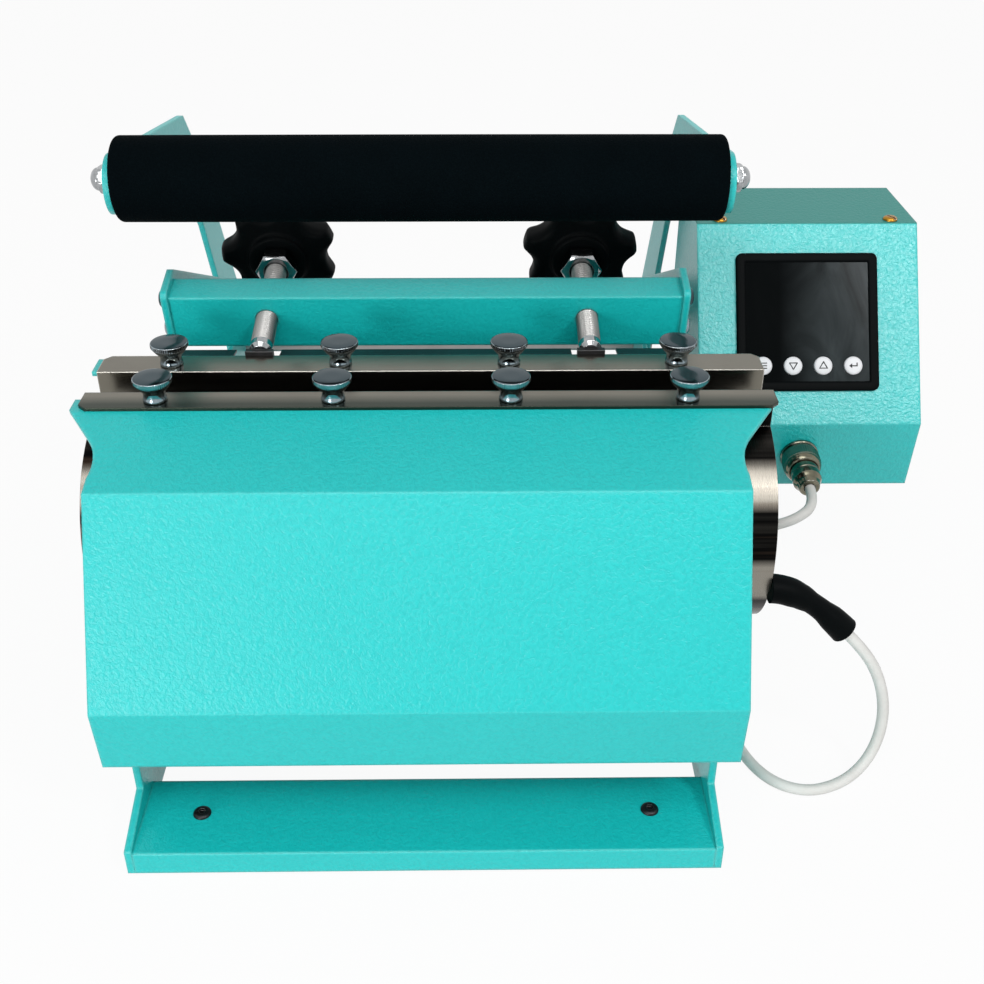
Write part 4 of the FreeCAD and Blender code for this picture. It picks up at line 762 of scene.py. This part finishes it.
def rod_foot(side):
    """The point on a pressure screw's axis from which its lengths are measured."""
    low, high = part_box(f"pressure_rod_{side}")
    return (low + high) / 2 - ROD_AIM * ROD_MIDDLE * MM


def thread_reach(height, angle):
    """Distance of a metric thread's skin from the axis. The thread runs out softly at both ends."""
    crest, root, run_out = 4.97, 4.2, 0.8
    phase = (height / PITCH - angle / (2 * pi)) % 1.0
    tooth = min(1.0, max(0.0, abs(phase - 0.5) * 2.6 - 0.15))
    fade = min(1.0, (height - THREAD_START) / run_out, (THREAD_STOP - height) / run_out)
    return crest - (crest - root) * (tooth if fade >= 1 else max(tooth, 1 - fade))


def threaded_rod(side):
    """A screw thread as one spiral skin."""
    place = stand(rod_foot(side), ROD_AIM)
    rings = []
    for row in range(THREAD_ROWS + 1):
        height = THREAD_START + (THREAD_STOP - THREAD_START) * row / THREAD_ROWS
        rings.append([swung(place, thread_reach(height, angle), angle, height) for angle in around(24)])
    blank = Blank()
    blank.rings(rings)
    blank.make(f"threaded_rod_{side}", STEEL, f"screw_{side}", "plain_steel",
               [f"pressure_rod_{side}"], 70)


def rod_nut(side):
    """A chamfered hexagon nut."""
    flats, height = 17, 8.0
    seat = rod_foot(side) + ROD_AIM * NUT_SEAT * MM
    place = stand(seat, ROD_AIM) @ Matrix.Rotation(radians(30), 4, "Z")
    # radius to which the hexagon is clipped, and depth below the nut's face
    face = [(5.05, 0.9), (5.9, 0.0), (7.9, 0.0)]
    chamfer = [(8.0 + 0.36 * k, 0.04 + 0.2 * k) for k in range(6)]
    lower = face + chamfer
    upper = [(limit, height - depth) for limit, depth in reversed(lower)]
    rings = [hexagon_ring(place, flats, limit, level) for limit, level in lower + upper]
    blank = Blank()
    blank.rings(rings, looped=True)
    blank.make(f"chamfered_nut_{side}", CHROME, f"screw_{side}", "chrome_nut", [f"hex_nut_{side}"], 22)


def lobe_reach(angle):
    """Radius of the star knob's outline at an angle from its first hollow."""
    lobes, disc, scallop, scallop_middle, soft = 7, 27.5, 11.0, 33.55, 3.2
    step = 2 * pi / lobes
    off = (angle + step / 2) % step - step / 2
    inside = scallop ** 2 - (scallop_middle * sin(off)) ** 2
    if inside <= 0:
        return disc
    cut = scallop_middle * cos(off) - sqrt(inside)
    gap = max(0.0, min(1.0, 0.5 + 0.5 * (cut - disc) / soft))
    return min(disc, cut * (1 - gap) + disc * gap - soft * gap * (1 - gap))


# The knob's profile from its bore outwards, over the lobes and back: (radius, height) on the hub,
# and (inset from the lobes' outline, height) between
KNOB_UNDER = [
    (5.1, 13.8), (5.1, 0.7), (5.7, 0.0), (12.6, 0.0), (13.4, 0.3), (13.7, 1.0), (13.8, 2.1), (14.4, 2.8),
    (15.6, 3.1),
]
KNOB_LOBES = [
    (4.6, 3.15), (3.0, 3.4), (1.7, 4.1), (0.75, 5.2), (0.2, 6.6), (0.0, 8.2), (0.0, 11.8), (0.2, 13.4),
    (0.75, 14.8), (1.7, 15.9), (3.0, 16.6), (4.6, 16.9),
]
KNOB_CROWN = [
    (15.8, 17.0), (14.6, 17.3), (14.0, 18.0), (13.7, 19.0), (13.0, 19.7), (12.0, 20.0), (7.0, 20.0),
    (6.4, 19.6), (6.0, 19.5),
]
KNOB_STEPS = 168


def lobed_knob(side):
    """A rounded seven-lobed hand knob."""
    place = stand(rod_foot(side) + ROD_AIM * KNOB_SEAT * MM, ROD_AIM)

    def lobed(inset, angle, row):
        return lobe_reach(angle - pi / 2 - KNOB_TURN[side]) - inset

    blank = Blank()
    blank.rings(turn_rings(place, KNOB_UNDER, KNOB_STEPS)
                + turn_rings(place, KNOB_LOBES, KNOB_STEPS, lobed)
                + turn_rings(place, KNOB_CROWN, KNOB_STEPS))
    blank.make(f"lobed_knob_{side}", PLASTIC, f"screw_{side}", "black_plastic", [f"star_knob_{side}"], 50)


for rod_side in ("left", "right"):
    threaded_rod(rod_side)
    rod_nut(rod_side)
    lobed_knob(rod_side)


# Thumb screws on the clamp bars
THUMB_PROFILE = [
    (1.9, -8.0), (2.5, -7.4), (2.5, 0.02), (4.6, 0.02), (4.85, 0.3), (4.9, 1.0), (4.75, 1.5),
    (4.55, 2.2), (4.5, 3.2), (4.6, 4.1), (4.85, 4.7), (5.3, 5.1), (6.6, 6.6), (7.5, 7.9), (7.95, 8.6),
    (8.0, 8.9), (8.0, 9.9), (7.9, 10.15), (7.6, 10.42), (7.25, 10.5), (3.0, 10.46), (1.0, 10.45),
]
THUMB_HEIGHT = 10.5
THUMB_STEPS = 104
THUMB_PLACES = (-108, -36, 36, 108)
KNURL_ROWS = range(12, 17)


def thumb_knurl(radius, angle, row):
    """Every other step of the head's rim is cut in, a little deeper towards the top."""
    if row in KNURL_ROWS:
        depth = 0.16 + 0.03 * (row - KNURL_ROWS[0] + 1)
        return radius - depth * (round(angle / (2 * pi) * THUMB_STEPS) % 2)
    return radius


def thumb_screws(row, body):
    """Four thumb screws of one clamp bar, each turned to its own angle."""
    low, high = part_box(f"{row}_thumb_screws")
    y = (low.y + high.y) / 2
    z = high.z - THUMB_HEIGHT * MM
    blank = Blank()
    for number, x in enumerate(THUMB_PLACES):
        turned = radians(7 + 11 * number)
        place = stand((x * MM, y, z), (0, 0, 1), (cos(turned), sin(turned), 0))
        blank.rings(turn_rings(place, THUMB_PROFILE, THUMB_STEPS, thumb_knurl))
    blank.make(f"{row}_knurled_screws", ZINC, body, "zinc_plate", [f"{row}_thumb_screws"], 30)


thumb_screws("front", "frame")
thumb_screws("rear", "rear_jaw")


# Dark strip behind the rear clamp bar: painted shade for the gap under the beam
def rear_shade_strip():
    """Three lengths of a dark folded strip that stands in for the shade under the beam, with room for the
    pressure blocks between them.
    """
    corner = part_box("rear_clamp_bar")[1]
    section = [(0.2, -1.4), (12.6, -3.2), (13.0, -3.7), (12.6, -4.2), (0.2, -2.6)]
    blank = Blank()
    for ends in ((-116, -84), (-64, 64), (84, 110)):
        blank.rings([[Vector((x * MM, corner.y + y * MM, corner.z + z * MM)) for y, z in section]
                     for x in ends])
    blank.make("rear_painted_shade_strip", BLACKENED, "rear_jaw", "black_oxide")


rear_shade_strip()


# Small screws
BUTTON_STEPS = 48


def button_head(place, radius, height, shank, shank_length):
    """Rings of a button-head screw standing on its seat: a shank below and a domed head above."""
    rim, flat_share = 0.15, 0.52
    profile = [(shank - 0.2, -shank_length), (shank, -shank_length + 0.3), (shank, 0.02),
               (radius - 0.1, 0.02), (radius, rim)]
    for step in range(1, 7):
        angle = pi / 2 * step / 6
        reach = radius * (flat_share + (1 - flat_share) * cos(angle))
        profile.append((reach, rim + (height - rim) * sin(angle)))
    return turn_rings(place, profile, BUTTON_STEPS)


def hexagon_well(place, flats, top, depth):
    """Rings of a hexagonal cutter that reaches past the head's top."""
    corner = flats / sqrt(3)
    return turn_rings(place, [(corner, top - depth), (corner, top + 0.6)], 6)


def screw_set(name, finish, body, replaced, seats, head, shank, socket):
    """Button-head screws with hexagon sockets, as one piece.

    A seat is a place, an axis and a shank length. A head is a radius and a height, and a socket is
    its flats and its depth.
    """
    (radius, height), (flats, depth) = head, socket
    blank, cutter = Blank(), Blank()
    for origin, axis, shank_length in seats:
        across = (0, 0, 1) if abs(axis[2]) < 0.9 else (1, 0, 0)
        place = stand(origin, axis, across)
        blank.rings(button_head(place, radius, height, shank, shank_length))
        cutter.rings(hexagon_well(place, flats, height, depth))
    piece = blank.plain(name)
    carve(piece, cutter.plain(name + "_well"))
    return settle(piece, finish, body, replaced, 30)


def base_screws():
    """Four screws through the base plates, at the corners of their solids' box."""
    low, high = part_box("base_screws")
    radius, height = 3.8, 1.6
    inset = radius * MM
    seats = [((x, y, high.z - height * MM), (0, 0, 1), 8.0)
             for x in (low.x + inset, high.x - inset) for y in (low.y + inset, high.y - inset)]
    screw_set("base_button_screws", BLACKENED, "frame", ["base_screws"], seats,
              (radius, height), 2.0, (2.6, 1.1))


def shell_screws():
    """Two screws in each of the front shell's end folds."""
    fold = 126  # the folds' outer faces, from the middle
    seats = [(spot(sign * fold, 46, z), (sign, 0, 0), 12.0) for sign in (-1, 1) for z in (66, 90)]
    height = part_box("shell_bolts")[1].x / MM - fold
    screw_set("shell_button_screws", BLACKENED, "frame", ["shell_bolts"], seats,
              (5.4, height), 3.0, (4.0, 1.7))


def beam_screws():
    """A lower and an upper bolt at each end of the press beam. The pair leans with the beam."""
    low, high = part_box("beam_bolts")
    radius, link_face = 4.5, 117.5
    inset = radius * MM
    pair = [(high.y - inset, low.z + inset), (low.y + inset, high.z - inset)]
    seats = [((sign * link_face * MM, y, z), (sign, 0, 0), 3.0) for sign in (-1, 1) for y, z in pair]
    screw_set("beam_button_screws", ZINC, "press_yoke", ["beam_bolts"], seats,
              (radius, high.x / MM - link_face), 2.5, (3.0, 1.5))


base_screws()
shell_screws()
beam_screws()


# Control box. Its sloping face runs from the chin up to the crown, and the display lies on it.
CHIN_Y, CHIN_Z = 184.4, 107.7
CROWN_Y, CROWN_Z = 241.0, 190.5
FACE_SLOPE = atan2(CROWN_Z - CHIN_Z, CROWN_Y - CHIN_Y)
PANEL_RISE = 16.5  # from the chin to the panel's lower edge
PANEL_WIDTH, PANEL_HEIGHT = 70, 68.5
KEY_ROW, KEY_STEP = 12.4, 14.9


def panel_place(across, up):
    """A frame on the display's face, measured from the panel's lower left corner."""
    run = Vector((0, cos(FACE_SLOPE), sin(FACE_SLOPE)))
    out = Vector((0, -sin(FACE_SLOPE), cos(FACE_SLOPE)))
    foot = spot(0, CHIN_Y, CHIN_Z)
    foot.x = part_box("display_panel")[0].x
    origin = foot + run * (PANEL_RISE + up) * MM + Vector((across * MM, 0, 0))
    return stand(origin, out)


def round_rectangle(place, width, height, radius, level):
    """A ring round a rectangle with rounded corners, centred on a place."""
    steps = 6
    ring = []
    for right, top, start in ((1, 1, 0), (-1, 1, 90), (-1, -1, 180), (1, -1, 270)):
        for step in range(steps + 1):
            angle = radians(start + 90 * step / steps)
            x = right * (width / 2 - radius) + radius * cos(angle)
            y = top * (height / 2 - radius) + radius * sin(angle)
            ring.append(set_at(place, x, y, level))
    return ring


def display_bezel():
    """A rounded frame standing just proud of the display's glass."""
    place = panel_place(PANEL_WIDTH / 2, PANEL_HEIGHT / 2)
    # inset from the panel's outline, and height over its face
    shape = [(0, 0.05), (0.0, 1.5), (0.25, 1.85), (0.7, 2.0), (3.6, 2.0), (4.1, 1.85), (4.6, 1.3),
             (4.7, 1.1)]
    rings = []
    for inset, level in shape:
        width, height = PANEL_WIDTH - 2 * inset, PANEL_HEIGHT - 2 * inset
        rings.append(round_rectangle(place, width, height, max(0.8, 3 - inset), level))
    blank = Blank()
    blank.rings(rings, (False, False))
    blank.make("display_frame", PLASTIC, "frame", "black_plastic", (), 40)


KEY_PROFILE = [(2.7, -5.0), (2.7, 0.0), (4.3, 0.0), (4.5, 0.2), (4.55, 1.3), (4.4, 1.6), (4.05, 1.8),
               (3.4, 1.88), (2.0, 1.9)]
ICON_LEVELS = (1.86, 1.93)


def key_faces():
    """Satin key caps with a rounded rim, and the dark icons printed on them."""
    for index, word in enumerate(("menu", "down", "up", "enter")):
        place = panel_place(PANEL_WIDTH / 2 + (index - 1.5) * KEY_STEP, KEY_ROW)
        blank = Blank()
        blank.rings(turn_rings(place, KEY_PROFILE, 48))
        blank.make(f"key_cap_{word}", KEY_WHITE, f"{word}_key", "white_key", [f"key_{word}"], 40)
        icon = Blank()
        draw_icon(icon, place, word)
        icon.make(f"key_icon_{word}", MARK, f"{word}_key", "black_plastic")


def icon_stroke(blank, place, start, stop, width):
    """A flat square-ended stroke of an icon."""
    a, b = Vector(start), Vector(stop)
    along = (b - a).normalized()
    side = Vector((-along.y, along.x)) * width / 2
    a = a - along * width / 2
    b = b + along * width / 2
    blank.rings(flat_rings(place, [a - side, b - side, b + side, a + side], ICON_LEVELS))


def draw_icon(blank, place, word):
    """Three lines, a bent arrow, or the outline of a triangle that points up or down."""
    if word == "menu":
        for y in (-1.3, 0, 1.3):
            icon_stroke(blank, place, (-1.6, y), (1.6, y), 0.5)
        return
    if word == "enter":
        icon_stroke(blank, place, (1.7, 1.1), (1.7, -0.2), 0.6)
        icon_stroke(blank, place, (1.7, -0.2), (-0.9, -0.2), 0.6)
        blank.rings(flat_rings(place, [(-2.2, -0.2), (-0.7, -1.4), (-0.7, 1.0)], ICON_LEVELS))
        return
    flip = 1 if word == "up" else -1
    corners = [(-1.9, -1.3 * flip), (1.9, -1.3 * flip), (0, 1.9 * flip)]
    for a, b in zip(corners, corners[1:] + corners[:1]):
        icon_stroke(blank, place, a, b, 0.5)


display_bezel()
key_faces()


def lid_screws():
    """Slotted brass-coloured screws on the box's lid."""
    low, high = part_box("lid_screws")
    radius, height, shank, shank_length = 3.6, 1.8, 1.5, 8
    slot = [(-0.6, -4.4), (0.6, -4.4), (0.6, 4.4), (-0.6, 4.4)]
    y = (low.y + high.y) / 2
    blank, cutter = Blank(), Blank()
    for x in (low.x + radius * MM, high.x - radius * MM):
        place = stand((x, y, high.z - height * MM), (0, 0, 1), (0.8, 0.6, 0))
        blank.rings(button_head(place, radius, height, shank, shank_length))
        cutter.rings(flat_rings(place, slot, (height / 2, height + 0.8)))
    piece = blank.plain("lid_slot_screws")
    carve(piece, cutter.plain("lid_slots"))
    settle(piece, BRASS, "frame", ["lid_screws"], 30)


lid_screws()


# The element's connector on the box's front, with profiles along its axis
PLUG_PLACE = stand(spot(184, 186.78, 89.15), (0, -0.992, -0.127))
SOCKET_PROFILE = [
    (7.3, -6.0), (7.3, 0.05), (9.0, 0.05), (9.45, 0.4), (9.45, 1.6), (9.0, 2.0), (7.9, 2.0), (7.3, 2.2),
    (7.0, 2.6), (7.35, 3.0), (7.0, 3.4), (7.35, 3.8), (7.0, 4.2),
]
RING_PROFILE = [
    (7.5, 2.3), (8.6, 2.3), (9.0, 2.6), (9.0, 3.4), (9.35, 3.7), (9.35, 9.6), (9.0, 10.0), (9.0, 11.0),
    (8.6, 12.0), (7.9, 12.9), (7.15, 13.2),
]
PLUG_PROFILE = [
    (5.8, 4.0), (5.8, 11.4), (6.9, 11.4), (6.9, 17.0), (6.7, 17.3), (6.7, 18.0), (6.95, 18.3),
    (6.95, 21.5), (6.5, 22.4), (5.9, 23.2), (5.4, 24.2), (5.2, 26.0), (4.9, 26.7), (4.3, 27.0),
    (2.9, 27.0), (2.6, 26.4),
]
RIB_STEPS = 96
RIB_ROWS = (4, 5)


def ring_ribs(radius, angle, row):
    """Every other step of the ring's grip is cut in."""
    if row in RIB_ROWS:
        return radius - 0.35 * (round(angle / (2 * pi) * RIB_STEPS) % 2)
    return radius


def socket_and_plug():
    """The round panel socket, the plug's knurled ring and its tapered body."""
    socket, ring, plug = Blank(), Blank(), Blank()
    socket.rings(turn_rings(PLUG_PLACE, SOCKET_PROFILE, 64))
    socket.make("round_socket", NICKEL, "frame", "nickel", ["panel_socket"], 30)
    ring.rings(turn_rings(PLUG_PLACE, RING_PROFILE, RIB_STEPS, ring_ribs), (False, False))
    ring.make("knurled_ring", NICKEL, "plug_ring", "nickel", ["locking_ring"], 25)
    plug.rings(turn_rings(PLUG_PLACE, PLUG_PROFILE, 56))
    plug.make("tapered_plug", NICKEL, "frame", "nickel", ["plug_body"], 25)


socket_and_plug()


# Stage and light
WHITE = (1, 1, 1, 1)
AIR_STRENGTH = 0.36
PAPER_GLOW = 0.94
# Name, place, width and power of each lamp
LAMPS = [
    ("left_box", (-0.62, -1.15, 0.1), 0.4, 5.5),
    ("right_box", (0.86, -0.96, 1.18), 0.34, 8.5),
    ("front_box", (-0.1, -1.2, 1.6), 1.2, 17.0),
]
LAMP_AIM = Vector((0, 0.03, 0))


def soft_air():
    """An even grey light from all round, which the eye and reflections see as white."""
    world = bpy.data.worlds.new("studio")
    bpy.context.scene.world = world
    world.use_nodes = True
    world.node_tree.nodes.clear()
    air = Nodes(world.node_tree)
    light = air.node("ShaderNodeBackground", {}, {"Color": WHITE, "Strength": AIR_STRENGTH})
    white = air.node("ShaderNodeBackground", {}, {"Color": WHITE, "Strength": 1.0})
    mixed = air.node("ShaderNodeMixShader", {}, {0: air.seen_by_eye(), 1: light, 2: white})
    end = air.tree.nodes.new("ShaderNodeOutputWorld")
    air.feed(end.inputs["Surface"], mixed)


def paper_floor():
    """A pale paper floor just under the feet. It looks near white and still takes a shadow."""
    reach, gap = 9.0, 0.0002
    corners = [(-reach, -reach), (reach, -reach), (reach, reach), (-reach, reach)]
    blank = Blank()
    blank.add([Vector((x, y, FLOOR_Z - gap)) for x, y in corners], [(0, 1, 2, 3)])
    floor = blank.plain("floor")
    paper = Finish("floor_paper", Roughness=0.9, Specular_IOR_Level=0.1)
    paper.give(Base_Color=paper.blend((0.74, 0.74, 0.74, 1), (0.78, 0.78, 0.78, 1), paper.grain(3)))
    glow = paper.node("ShaderNodeEmission", {}, {"Color": WHITE, "Strength": 1.0})
    share = paper.seen_by_eye() * PAPER_GLOW
    plain = Wire(paper, paper.shader.outputs[0])
    mixed = paper.node("ShaderNodeMixShader", {}, {0: share, 1: plain, 2: glow})
    out = next(n for n in paper.tree.nodes if n.type == "OUTPUT_MATERIAL")
    paper.feed(out.inputs["Surface"], mixed)
    floor.data.materials.append(paper.material)


def lamps():
    """Three square soft boxes, all aimed at the middle of the press."""
    for name, place, width, power in LAMPS:
        lamp = bpy.data.lights.new(name, "AREA")
        lamp.shape = "SQUARE"
        lamp.size = width
        lamp.energy = power
        item = bpy.data.objects.new(name, lamp)
        bpy.context.scene.collection.objects.link(item)
        item.location = place
        aim = LAMP_AIM - Vector(place)
        item.rotation_euler = aim.to_track_quat("-Z", "Y").to_euler()


soft_air()
paper_floor()
lamps()
bpy.context.scene.view_settings.view_transform = "Standard"
